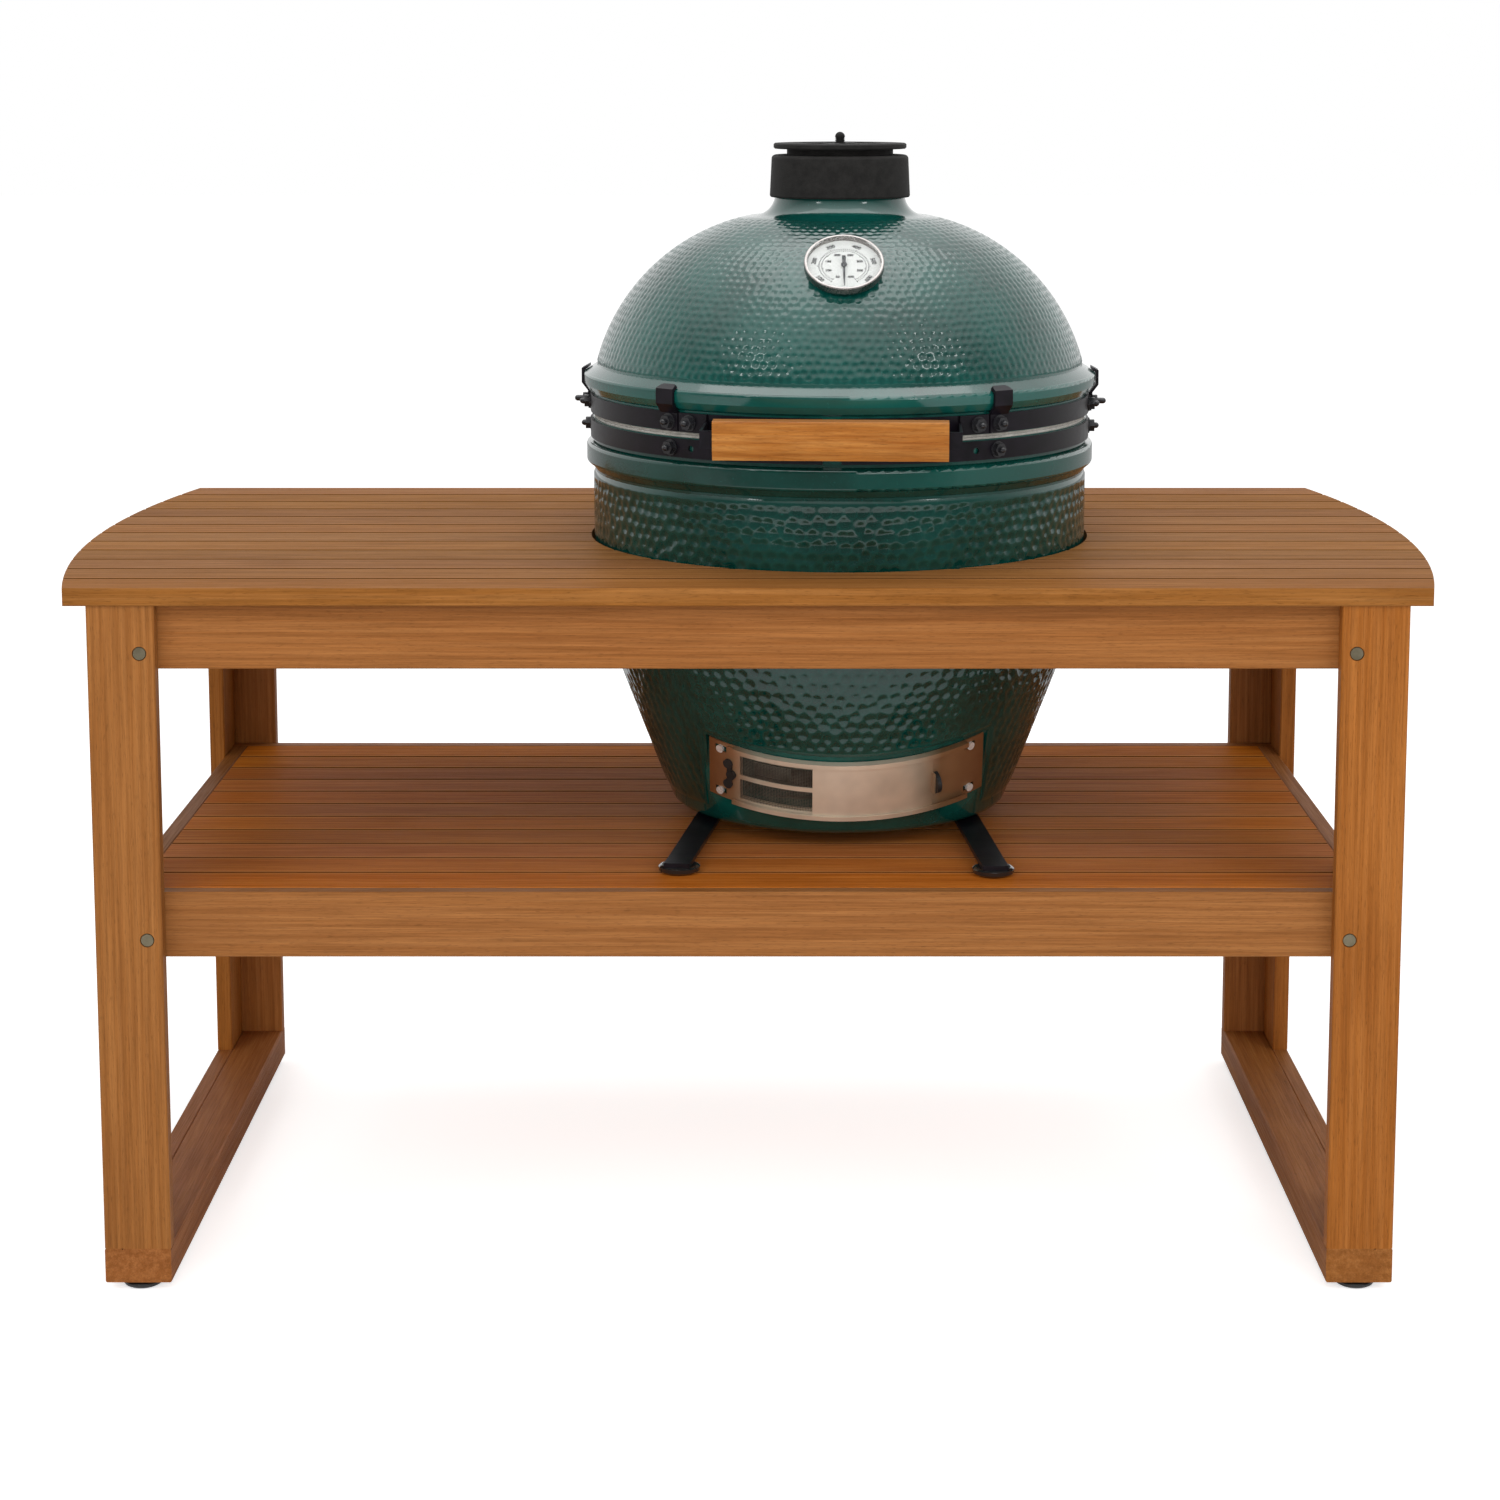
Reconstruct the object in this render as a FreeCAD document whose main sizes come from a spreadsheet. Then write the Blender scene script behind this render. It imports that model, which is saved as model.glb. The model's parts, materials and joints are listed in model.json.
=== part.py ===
import FreeCAD, Part
import math
import os
import re

import Sketcher
from FreeCAD import Vector

# A slatted hardwood table with a bowed top and a lower shelf, and a ceramic kamado grill that
# stands on the shelf and rises through a round hole in the top.
# +X is to the right, +Y to the back, +Z up. The origin is on the floor, under the table's centre.
# Sizes are millimetres and degrees.

SIZES = {
    # Table top
    "table_length": 1600,
    "table_depth": 800,
    "table_height": 810,
    "top_thickness": 20,
    "bow_depth": 46,
    "top_slats": 12,
    "top_gap": 4,
    "board_edge": 1.5,
    # Table frame
    "frame_length": 1460,
    "frame_depth": 790,
    "board_thickness": 20,
    "leg_width": 75,
    "leg_return": 80,
    "apron_height": 75,
    "foot_rail_height": 40,
    "glue_line": 1.5,
    "batten_width": 40,
    "batten_height": 25,
    "hole_batten_length": 230,
    # Shelf
    "shelf_height": 460,
    "shelf_thickness": 20,
    "shelf_rail_height": 75,
    "shelf_slats": 11,
    "shelf_gap": 3,
    "shelf_end_gap": 0.5,
    # Levelling feet
    "pad_height": 10,
    "pad_radius": 23,
    "pad_sole_radius": 17,
    "pad_crown": 0.45,
    "pad_edge": 2,
    "pad_inset_end": 38,
    "pad_inset_front": 45,
    "stem_radius": 4,
    "stem_length": 26,
    "stem_bore_depth": 34,
    "running_gap": 0.05,
    # Frame bolts
    "bolt_inset": 17,
    "apron_bolt_height": 21,
    "shelf_bolt_height": 25,
    "bolt_head_radius": 7,
    "bolt_head_height": 4,
    "bolt_sink": 4.5,
    "bolt_head_gap": 1,
    "bolt_radius": 3,
    "bolt_hole_gap": 0.2,
    "bolt_nut_radius": 6,
    "bolt_nut_height": 5,
    # Place of the grill in the table
    "grill_middle_x": 109,
    "grill_middle_y": 10,
    "hole_clearance": 5.5,
    "band_turn": -2.8,
    # Stand
    "stand_height": 19,
    "stand_ring_radius": 165,
    "stand_ring_width": 30,
    "stand_plate": 5,
    "stand_leg_width": 30,
    "stand_leg_reach": 280,
    "stand_leg_splay": 6.9,
    "stand_root_angle": 78.8,
    "stand_turn": -1.7,
    "stand_foot_radius": 24,
    "stand_foot_height": 9,
    "stand_toe": 14,
    # Ceramic base
    "body_radius": 299.5,
    "cone_foot_radius": 210.2,
    "cone_height": 140,
    "wall_angle": 20.9,
    "foot_depth": 16,
    "foot_round": 14,
    "foot_hollow_radius": 120,
    "floor_thickness": 30,
    "wall_thickness": 25,
    "base_height": 461,
    "rim_radius": 309.5,
    "rim_low": 407,
    "rim_high": 432,
    "rim_round": 4,
    "rim_cove": 8,
    "seam_radius": 301.5,
    # Ceramic dome
    "dome_offset": 61.2,
    "dome_arc": 242.5,
    "dome_wall": 22,
    "dome_arc_rise": -1.2,
    "lid_rim_radius": 312.3,
    "lid_rim_under": 306.5,
    "lid_rim_low": 27.7,
    "lid_rim_crease": 35.7,
    "lid_rim_high": 47.7,
    "lid_rim_slope": 10,
    "neck_radius": 79,
    "neck_bore": 61,
    "neck_fillet": 26,
    "neck_height": 274,
    # Felt gaskets
    "gasket_thickness": 3,
    "gasket_gap": 0.3,
    "gasket_inset": 1.5,
    "gasket_width": 16,
    # Steel bands
    "band_height": 22,
    "band_thickness": 3,
    "band_gap": 0.3,
    "band_seam_gap": 1.2,
    "band_split": 4,
    "strap_gap": 0.2,
    # Band bolts and rim hooks
    "hook_angle": 38,
    "side_hook_angle": 90,
    "hook_width": 26,
    "hook_thickness": 3,
    "hook_lip": 6,
    "hook_corner": 6,
    "hook_gap": 0.8,
    "second_bolt_step": 5.6,
    "band_bolt_radius": 3.6,
    "band_bolt_head": 8,
    "band_nut_height": 6,
    "band_bolt_reach": 8,
    "side_bolt_reach": 13,
    "washer_radius": 9.5,
    "washer_thickness": 1.5,
    # Handle
    "grip_length": 262,
    "grip_height": 44,
    "grip_depth": 30,
    "grip_round": 4,
    "grip_chamfer": 11,
    "grip_reach": 375,
    "grip_middle_height": 472.7,
    "strap_height": 20,
    "strap_thickness": 3,
    "strap_stand_out": 15,
    "tang_length": 14,
    "tang_gap": 0.2,
    "strap_foot_start": 28,
    "strap_foot_end": 35.2,
    # Lid hinge
    "hinge_reach": 347,
    "hinge_pin_radius": 5,
    "hinge_pin_head": 8,
    "hinge_pin_head_length": 4,
    "hinge_eye_radius": 11,
    "hinge_plate": 4,
    "hinge_lower_ear": 58,
    "hinge_ear_gap": 2,
    "hinge_foot_angle": 16.5,
    "hinge_bolt_angle": 14,
    "spring_wire": 3.5,
    "spring_radius": 9.3,
    "spring_turns": 6,
    "spring_pitch": 4.6,
    "spring_start": 8,
    "spring_leg_gap": 0.6,
    # Vent cap
    "cap_skirt": 14,
    "cap_height": 51,
    "cap_foot_radius": 85.3,
    "cap_top_radius": 83.2,
    "cap_round": 5,
    "cap_wall": 5.4,
    "cap_fit": 0.4,
    "cap_plate": 8,
    "cap_opening": 52,
    "swing_radius": 64.5,
    "swing_thickness": 6.7,
    "slide_gap": 0.3,
    "pivot_offset": 67,
    "pivot_radius": 4,
    "pivot_boss": 10,
    "wheel_radius": 80.7,
    "wheel_thickness": 6.7,
    "wheel_edge": 1.5,
    "wheel_turn": 14,
    "vent_slots": 6,
    "vent_slot_inner": 22,
    "vent_slot_outer": 50,
    "vent_slot_angle": 34,
    "knob_radius": 6,
    "knob_height": 13.5,
    "knob_ribs": 3,
    "knob_rib_depth": 1,
    "knob_screw_head": 7,
    "knob_screw_sink": 2.5,
    # Thermometer
    "gauge_angle": 50.5,
    "gauge_radius": 46,
    "gauge_depth": 12,
    "gauge_rim": 3,
    "gauge_back": 3,
    "dial_thickness": 1,
    "glass_thickness": 2,
    "glass_recess": 0.6,
    "glass_fit": 0.1,
    "gauge_seat_gap": 0.2,
    "gauge_stem_radius": 3.5,
    "gauge_stem_length": 75,
    "gauge_hole_gap": 0.5,
    "needle_length": 34,
    "needle_tail": 15,
    "needle_width": 2.4,
    "needle_tail_width": 4.4,
    "needle_thickness": 0.8,
    "needle_boss": 3.5,
    "needle_lift": 2,
    "needle_spindle": 1,
    # Draft door
    "door_height_middle": 44.5,
    "door_height": 78,
    "door_plate": 1.6,
    "door_sheet": 1.4,
    "door_layer_gap": 0.8,
    "door_lip": 6,
    "door_seat_gap": 0.3,
    "door_seat_rise": 1.5,
    "frame_start": 39.5,
    "frame_end": 43,
    "rail_start": 31,
    "rail_end": 36.2,
    "window_start": 28.5,
    "window_end": 3.5,
    "window_height": 54,
    "screen_start": 33,
    "screen_sweep": 37.5,
    "screen_border": 4,
    "screen_bar": 6,
    "mesh_thickness": 0.5,
    "panel_start": 8.1,
    "panel_sweep": 33.2,
    "tab_height": 28,
    "tab_reach": 9,
    "door_knob_radius": 14,
    "door_knob_thickness": 5,
    "screen_knob_radius": 6,
    "screen_knob_thickness": 4,
    "screen_knob_inset": 1.5,
    "knob_lobe_radius": 6,
    "knob_lobe_rise": 14,
    "knob_lobe_lean": 1.1,
    "knob_lobe_thickness": 3,
    "door_screw_radius": 3,
    "door_screw_head": 5,
    "door_screw_height": 3,
    "door_screw_inset": 4,
    "door_screw_inset_right": 5.2,
    "door_screw_spread": 29.5,
    "door_slot_length": 16,
    "door_slot_width": 8,
    "draft_edge_gap": 3,
    # Inside the grill
    "firebox_foot_radius": 140,
    "firebox_belly_radius": 190,
    "firebox_belly_height": 62,
    "firebox_mid_radius": 226,
    "firebox_mid_height": 140,
    "firebox_top_radius": 244,
    "firebox_top_height": 205,
    "firebox_wall": 18,
    "firebox_floor": 14,
    "firebox_hole_radius": 96,
    "draft_width": 120,
    "stack_gap": 0.3,
    "fire_ring_low_radius": 249,
    "fire_ring_mid_radius": 265,
    "fire_ring_mid_height": 300,
    "fire_ring_top_radius": 267,
    "fire_ring_top_height": 410,
    "fire_ring_wall": 20,
    "grate_radius": 110,
    "grate_thickness": 9,
    "grate_slots": 12,
    "grate_slot_inner": 30,
    "grate_slot_outer": 88,
    "grate_slot_width": 10,
    "grid_radius": 264,
    "grid_wire": 5,
    "grid_ring_wire": 7,
    "grid_bars": 25,
    "grid_pitch": 20,
    "grid_tie_offset": 95,
    "grid_weld": 0.5,
}

document = FreeCAD.newDocument("KamadoGrillTable")
sheet = document.addObject("Spreadsheet::Sheet", "Sizes")
for row, (alias, number) in enumerate(SIZES.items(), start=1):
    sheet.set(f"A{row}", alias)
    sheet.set(f"B{row}", str(number))
    sheet.setAlias(f"B{row}", alias)
document.recompute()

# The pieces that become files, in the order in which they are made
sub_parts = []


# Sizes, places and simple shapes

def expression(text):
    """The text with each size's name pointed at the sheet."""
    def to_cell(word):
        return "Sizes." + word.group() if word.group() in SIZES else word.group()
    return re.sub(r"[a-z_]+", to_cell, str(text))


def value(text):
    """The number that an expression of sizes comes to."""
    return float(sheet.evalExpression(expression(text)))


def bind(thing, **properties):
    """Bind properties to expressions of sizes; a double underscore stands for a dot."""
    for path, text in properties.items():
        thing.setExpression(path.replace("__", "."), expression(text))
    return thing


def placed(x="0", y="0", z="0", turns=()):
    """A placement's expression: the turns (axis letter, degrees), last one first, then the shift."""
    axes = {"X": "1; 0; 0", "Y": "0; 1; 0", "Z": "0; 0; 1"}
    spins = [f"rotation(vector({axes[axis]}); {angle})" for axis, angle in turns]
    spin = " * ".join(spins) or "rotation(vector(0; 0; 1); 0)"
    return f"placement(vector({x}; {y}; {z}); {spin})"


def place(thing, *placements):
    """Bind the thing's placement to the product of placement expressions."""
    thing.setExpression("Placement", expression(" * ".join(placements)))
    return thing


def made(kind, label, **properties):
    """A new object of the document with its label and bound properties."""
    thing = document.addObject(kind, label)
    thing.Label = label
    return bind(thing, **properties)


def rod(label, radius, length, *placements, sweep="360"):
    """A cylinder along its own Z, or a sector of one from its own X."""
    thing = made("Part::Cylinder", label, Radius=radius, Height=length, Angle=sweep)
    return place(thing, *placements) if placements else thing


def block(label, size, *placements):
    """A box with its low corner at its own origin."""
    thing = made("Part::Box", label, Length=size[0], Width=size[1], Height=size[2])
    return place(thing, *placements) if placements else thing


def cut(label, base, tool):
    """The base less the tool."""
    thing = made("Part::Cut", label)
    thing.Base = base
    thing.Tool = tool
    return thing


def common(label, *pieces):
    """What the pieces share."""
    thing = made("Part::MultiCommon", label)
    thing.Shapes = list(pieces)
    return thing


def fuse(label, *pieces):
    """One solid of several."""
    thing = made("Part::MultiFuse", label)
    thing.Shapes = list(pieces)
    thing.Refine = True
    return thing


def group(label, *pieces):
    """Several separate solids under one name."""
    thing = made("Part::Compound", label)
    thing.Links = list(pieces)
    return thing


def keep(thing):
    """List the thing as a sub-part that becomes a file."""
    sub_parts.append(thing)
    return thing


# Sketched bodies

def new_body(label):
    """An empty body."""
    return made("PartDesign::Body", label)


def on_plane(body, role, name):
    """A sketch on one of the body's own origin planes."""
    sketch = body.newObject("Sketcher::SketchObject", name)
    plane = next(item for item in body.Origin.OriginFeatures if item.Role == role)
    sketch.AttachmentSupport = (plane, [""])
    sketch.MapMode = "FlatFace"
    return sketch


def arc_between(start, end, radius, side):
    """An arc from start to end that bulges to the left (1) or right (-1) of that direction."""
    chord = end - start
    half = chord.Length / 2
    sagitta = radius - max(radius * radius - half * half, 0) ** 0.5
    left = Vector(-chord.y, chord.x, 0).normalize()
    return Part.Arc(start, (start + end) * 0.5 + left * (sagitta * side), end)


def outline(sketch, corners):
    """A closed outline whose corners are bound to sizes.

    A corner is (across, up), or (across, up, radius, side) where an arc leads to the next corner.
    """
    points = [Vector(value(corner[0]), value(corner[1]), 0) for corner in corners]
    ends = []
    for number, corner in enumerate(corners):
        start, end = points[number], points[(number + 1) % len(points)]
        if len(corner) == 2:
            sketch.addGeometry(Part.LineSegment(start, end), False)
            ends.append((1, 2))
        else:
            arc = arc_between(start, end, value(corner[2]), corner[3])
            index = sketch.addGeometry(arc, False)
            forward = sketch.getPoint(index, 1).distanceToPoint(start) < 1e-6
            ends.append((1, 2) if forward else (2, 1))
    for number, corner in enumerate(corners):
        before = number - 1 if number else len(corners) - 1
        sketch.addConstraint(Sketcher.Constraint("Coincident", before, ends[before][1], number, ends[number][0]))
        for kind, axis, text in (("DistanceX", -2, corner[0]), ("DistanceY", -1, corner[1])):
            if text == "0":
                rule = Sketcher.Constraint("PointOnObject", number, ends[number][0], axis)
                sketch.addConstraint(rule)
                continue
            rule = Sketcher.Constraint(kind, -1, 1, number, ends[number][0], value(text))
            index = sketch.addConstraint(rule)
            sketch.setExpression(f"Constraints[{index}]", expression(text))
        if len(corner) > 2:
            rule = Sketcher.Constraint("Radius", number, value(corner[2]))
            index = sketch.addConstraint(rule)
            sketch.setExpression(f"Constraints[{index}]", expression(corner[2]))
    return sketch


def sketched(body, role, corners, name="Outline"):
    """A closed sketch on a plane of the body."""
    return outline(on_plane(body, role, name), corners)


def pad(body, sketch, length, middle=False, back=False):
    """The sketch padded by a length, one way or half each way."""
    feature = body.newObject("PartDesign::Pad", "Pad")
    feature.Profile = sketch
    feature.Midplane = middle
    feature.Reversed = back
    bind(feature, Length=length)
    return feature


def revolve(body, sketch, angle="360", middle=False):
    """The sketch turned about the body's upright axis."""
    feature = body.newObject("PartDesign::Revolution", "Revolution")
    feature.Profile = sketch
    feature.ReferenceAxis = (sketch, ["V_Axis"])
    feature.Midplane = middle
    bind(feature, Angle=angle)
    return feature


def turned(label, corners):
    """A body of revolution about its own Z, from an outline of (radius, height) corners."""
    body = new_body(label)
    revolve(body, sketched(body, "XZ_Plane", corners))
    return body


def curved_strip(label, low_radius, high_radius, low, high, start, end):
    """A strip bent round its own Z, from start to end degrees right of the front (-Y)."""
    body = new_body(label)
    corners = [(low_radius, low), (high_radius, low), (high_radius, high), (low_radius, high)]
    revolve(body, sketched(body, "XZ_Plane", corners), f"({end}) - ({start})", middle=True)
    return place(body, placed(turns=[("Z", f"(({end}) + ({start})) / 2 - 90")]))


def board(label, along, size, *placements):
    """A sawn board with eased long edges, from its own origin, along X, Y or Z."""
    length, width, height = size
    plane, across, up, run = {
        "X": ("YZ_Plane", width, height, length),
        "Y": ("XZ_Plane", length, height, width),
        "Z": ("XY_Plane", length, width, height),
    }[along]
    body = new_body(label)
    corners = [
        ("board_edge", "0"),
        (f"{across} - board_edge", "0"),
        (across, "board_edge"),
        (across, f"{up} - board_edge"),
        (f"{across} - board_edge", up),
        ("board_edge", up),
        ("0", f"{up} - board_edge"),
        ("0", "board_edge"),
    ]
    pad(body, sketched(body, plane, corners), run, back=(along == "Y"))
    return place(body, *placements) if placements else body


def low_side(side, outer, width):
    """Where a piece of this width starts, with its outer face at the outer distance on one side."""
    return f"-({outer})" if side < 0 else f"({outer}) - ({width})"


# Shared places

UNDER_TOP = "(table_height - top_thickness)"
HALF_LENGTH = "(frame_length / 2)"
HALF_DEPTH = "(frame_depth / 2)"
FOOT_TOP = "(pad_height + foot_rail_height)"
INNER_LENGTH = "(frame_length / 2 - board_thickness)"
INNER_DEPTH = "(frame_depth / 2 - board_thickness)"
BAY_LENGTH = "(frame_length / 2 - 2 * board_thickness)"
BAY_DEPTH = "(frame_depth / 2 - 2 * board_thickness)"
HOLE_RADIUS = "(body_radius + hole_clearance)"
SIDES = {"left": -1, "right": 1}
ENDS = {"front": -1, "rear": 1}

# The grill's own frame has its origin at the middle of the base's underside
STAND = placed("grill_middle_x", "grill_middle_y", "shelf_height + stand_height", [("Z", "stand_turn")])
GRILL = placed("grill_middle_x", "grill_middle_y", "shelf_height + stand_height + foot_depth")
BANDS = placed("grill_middle_x", "grill_middle_y", "shelf_height + stand_height + foot_depth",
               [("Z", "band_turn")])


# Table frame

def frame_bolt_places():
    """Place and label of each frame bolt: at the leg's inner edge, on apron and shelf rail."""
    heights = {
        "apron": f"{UNDER_TOP} - apron_height + apron_bolt_height",
        "shelf": "shelf_height - shelf_rail_height + shelf_bolt_height",
    }
    for side_name, side in SIDES.items():
        for end_name, end in ENDS.items():
            for level, height in heights.items():
                x = f"{side} * ({HALF_LENGTH} - leg_width + bolt_inset)"
                turn = [("X", f"{-90 * -end}")]
                yield f"{end_name}_{side_name}_{level}", x, f"{end} * {HALF_DEPTH}", height, turn


def frame_bolts_and_holes():
    """The bolts with their nuts, and the rods that cut their holes.

    Each bolt's own Z runs inwards from the outer face of the leg.
    """
    bolts, holes = [], []
    for label, x, y, z, turn in frame_bolt_places():
        seat = placed(x, y, z, turn)
        reach = "2 * board_thickness + bolt_nut_height - bolt_sink"
        head = rod(f"head_{label}", "bolt_head_radius", "bolt_head_height",
                   seat, placed(z="bolt_sink - bolt_head_height"))
        shank = rod(f"shank_{label}", "bolt_radius", reach, seat, placed(z="bolt_sink"))
        bolts.append(fuse(f"bolt_{label}", head, shank))
        nut = made("Part::Prism", f"nut_blank_{label}", Circumradius="bolt_nut_radius",
                   Height="bolt_nut_height")
        nut.Polygon = 6
        place(nut, seat, placed(z="2 * board_thickness"))
        bore = rod(f"nut_bore_{label}", "bolt_radius + running_gap", "bolt_nut_height",
                   seat, placed(z="2 * board_thickness"))
        bolts.append(cut(f"nut_{label}", nut, bore))
        holes.append(rod(f"hole_{label}", "bolt_radius + bolt_hole_gap", "2 * board_thickness", seat))
        holes.append(rod(f"sink_{label}", "bolt_head_radius + bolt_head_gap", "bolt_sink", seat))
    return bolts, group("frame_bolt_holes", *holes)


def leg(label, side, end, holes):
    """A corner leg of two boards glued in an L: a front board and a return along the side."""
    height = f"{UNDER_TOP} - {FOOT_TOP}"
    front = board(f"{label}_front_board", "Z", ("leg_width", "board_thickness", height),
                  placed(low_side(side, HALF_LENGTH, "leg_width"),
                         low_side(end, HALF_DEPTH, "board_thickness"), FOOT_TOP))
    drilled = cut(f"{label}_drilled_board", front, holes)
    side_board = board(f"{label}_side_board", "Z", ("board_thickness", "leg_return", height),
                       placed(low_side(side, HALF_LENGTH, "board_thickness"),
                              low_side(end, INNER_DEPTH, "leg_return"), FOOT_TOP))
    return group(label, drilled, side_board)


def foot_rail(label, side):
    """A rail on the floor side under both legs, with the line where its two boards are glued."""
    body = new_body(label + "_blank")
    line = "board_thickness" if side < 0 else "leg_width - board_thickness"
    corners = [
        ("board_edge", "0"),
        ("leg_width - board_edge", "0"),
        ("leg_width", "board_edge"),
        ("leg_width", "foot_rail_height - board_edge"),
        ("leg_width - board_edge", "foot_rail_height"),
        (f"{line} + glue_line", "foot_rail_height"),
        (line, "foot_rail_height - glue_line"),
        (f"{line} - glue_line", "foot_rail_height"),
        ("board_edge", "foot_rail_height"),
        ("0", "foot_rail_height - board_edge"),
        ("0", "board_edge"),
    ]
    pad(body, sketched(body, "XZ_Plane", corners), "frame_depth", back=True)
    place(body, placed(low_side(side, HALF_LENGTH, "leg_width"), f"-{HALF_DEPTH}", "pad_height"))
    bores = [rod(f"{label}_bore_{name}", "stem_radius + running_gap", "stem_bore_depth", pad_place(side, end))
             for name, end in ENDS.items()]
    return cut(label, body, group(label + "_bores", *bores))


def pad_place(side, end):
    """Where a levelling foot meets its foot rail."""
    return placed(f"{side} * ({HALF_LENGTH} - pad_inset_end)",
                  f"{end} * ({HALF_DEPTH} - pad_inset_front)", "pad_height")


def foot_pad(label, side, end):
    """A domed levelling glide on a threaded stem, made from its seat under the rail."""
    crown = "(pad_height * pad_crown)"
    crown_arc = f"((pad_radius - 2 * stem_radius) ^ 2 + {crown} ^ 2) / (2 * {crown})"
    corners = [
        ("0", "-pad_height"),
        ("pad_sole_radius", "-pad_height", "pad_radius / 3", -1),
        ("pad_radius", f"-{crown} - pad_edge"),
        ("pad_radius", f"-{crown}", crown_arc, -1),
        ("stem_radius * 2", "0"),
        ("stem_radius", "0"),
        ("stem_radius", "stem_length"),
        ("0", "stem_length"),
    ]
    return place(turned(label, corners), pad_place(side, end))


def make_frame():
    """Legs, foot rails, feet, aprons and bolts."""
    bolts, holes = frame_bolts_and_holes()
    for side_name, side in SIDES.items():
        for end_name, end in ENDS.items():
            keep(leg(f"leg_{end_name}_{side_name}", side, end, holes))
    for side_name, side in SIDES.items():
        keep(foot_rail(f"foot_rail_{side_name}", side))
    for side_name, side in SIDES.items():
        for end_name, end in ENDS.items():
            keep(foot_pad(f"foot_pad_{end_name}_{side_name}", side, end))
    rails = {
        "apron": (UNDER_TOP, "apron_height", "side_aprons"),
        "shelf_rail": ("shelf_height", "shelf_rail_height", "shelf_side_rails"),
    }
    for name, (top, height, side_label) in rails.items():
        for end_name, end in ENDS.items():
            blank = board(f"{name}_{end_name}_blank", "X",
                          (f"2 * {INNER_LENGTH}", "board_thickness", height),
                          placed(f"-{INNER_LENGTH}", low_side(end, INNER_DEPTH, "board_thickness"),
                                 f"{top} - {height}"))
            keep(cut(f"{name}_{end_name}", blank, holes))
        pair = [board(f"{side_label}_{side_name}", "Y", ("board_thickness", f"2 * {BAY_DEPTH}", height),
                      placed(low_side(side, INNER_LENGTH, "board_thickness"), f"-{BAY_DEPTH}",
                             f"{top} - {height}"))
                for side_name, side in SIDES.items()]
        keep(group(side_label, *pair))
    keep(group("frame_bolts", *bolts))


# Table top

SLAT_WIDTH = "((table_depth - (top_slats - 1) * top_gap) / top_slats)"


def bowed_outline():
    """The whole top as one sheet with straight long edges and bowed ends."""
    body = new_body("top_outline")
    corner_x = "(table_length / 2 - bow_depth)"
    bow_radius = "(table_depth ^ 2 / 4 + bow_depth ^ 2) / (2 * bow_depth)"
    corners = [
        (f"-{corner_x}", "-table_depth / 2"),
        (corner_x, "-table_depth / 2", bow_radius, -1),
        (corner_x, "table_depth / 2"),
        (f"-{corner_x}", "table_depth / 2", bow_radius, -1),
    ]
    pad(body, sketched(body, "XY_Plane", corners), "top_thickness")
    return place(body, placed(z=UNDER_TOP))


def top_slat(label, row, start, length, sheet_outline, hole):
    """One slat of a row, trimmed to the bowed ends and to the round hole."""
    front = f"-table_depth / 2 + {row} * ({SLAT_WIDTH} + top_gap)"
    strip = board(label + "_strip", "X", (length, SLAT_WIDTH, "top_thickness"),
                  placed(start, front, UNDER_TOP))
    return cut(label, common(label + "_trimmed", strip, sheet_outline), hole)


def make_top():
    """The slats in front of the hole, behind it and on both sides of it."""
    sheet_outline = bowed_outline()
    hole = rod("top_hole", HOLE_RADIUS, "top_thickness",
               placed("grill_middle_x", "grill_middle_y", UNDER_TOP))
    half = "table_length / 2"
    rows = {"front": [], "rear": [], "left": [], "right": []}
    for row in range(int(value("top_slats"))):
        front = value(f"-table_depth / 2 + {row} * ({SLAT_WIDTH} + top_gap) - grill_middle_y")
        back = front + value(SLAT_WIDTH)
        name = f"top_slat_{row + 1:02d}"
        if max(abs(front), abs(back)) < value(HOLE_RADIUS):
            rows["left"].append(top_slat(f"{name}_left", row, f"-{half}", f"{half} + grill_middle_x",
                                         sheet_outline, hole))
            rows["right"].append(top_slat(f"{name}_right", row, "grill_middle_x",
                                          f"{half} - grill_middle_x", sheet_outline, hole))
        else:
            where = "front" if front < 0 else "rear"
            rows[where].append(top_slat(name, row, f"-{half}", "table_length", sheet_outline, hole))
    for where, slats in rows.items():
        keep(group(f"top_slats_{where}", *slats))
    keep(group("top_battens", *top_battens()))


def top_battens():
    """Battens under the slats: four from front to rear, and four that frame the hole askew."""
    low = f"{UNDER_TOP} - batten_height"
    beside = f"({HOLE_RADIUS} + 1.5 * batten_width)"
    hole_battens = {"hole_left": f"grill_middle_x - {beside}", "hole_right": f"grill_middle_x + {beside}"}
    outer = {
        "outer_left": f"(grill_middle_x - {beside} - {BAY_LENGTH}) / 2",
        "outer_right": f"(grill_middle_x + {beside} + {BAY_LENGTH}) / 2",
    }
    battens = [board(f"batten_{name}", "Y", ("batten_width", f"2 * {BAY_DEPTH}", "batten_height"),
                     placed(f"{middle} - batten_width / 2", f"-{BAY_DEPTH}", low))
               for name, middle in {**hole_battens, **outer}.items()]
    out = f"({HOLE_RADIUS} + bolt_sink)"
    for number in range(4):
        askew = placed("grill_middle_x", "grill_middle_y", low, [("Z", f"{45 + 90 * number}")])
        battens.append(board(f"batten_askew_{number + 1}", "Y",
                             ("batten_width", "hole_batten_length", "batten_height"),
                             askew, placed(out, "-hole_batten_length / 2")))
    return battens


# Shelf

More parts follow.
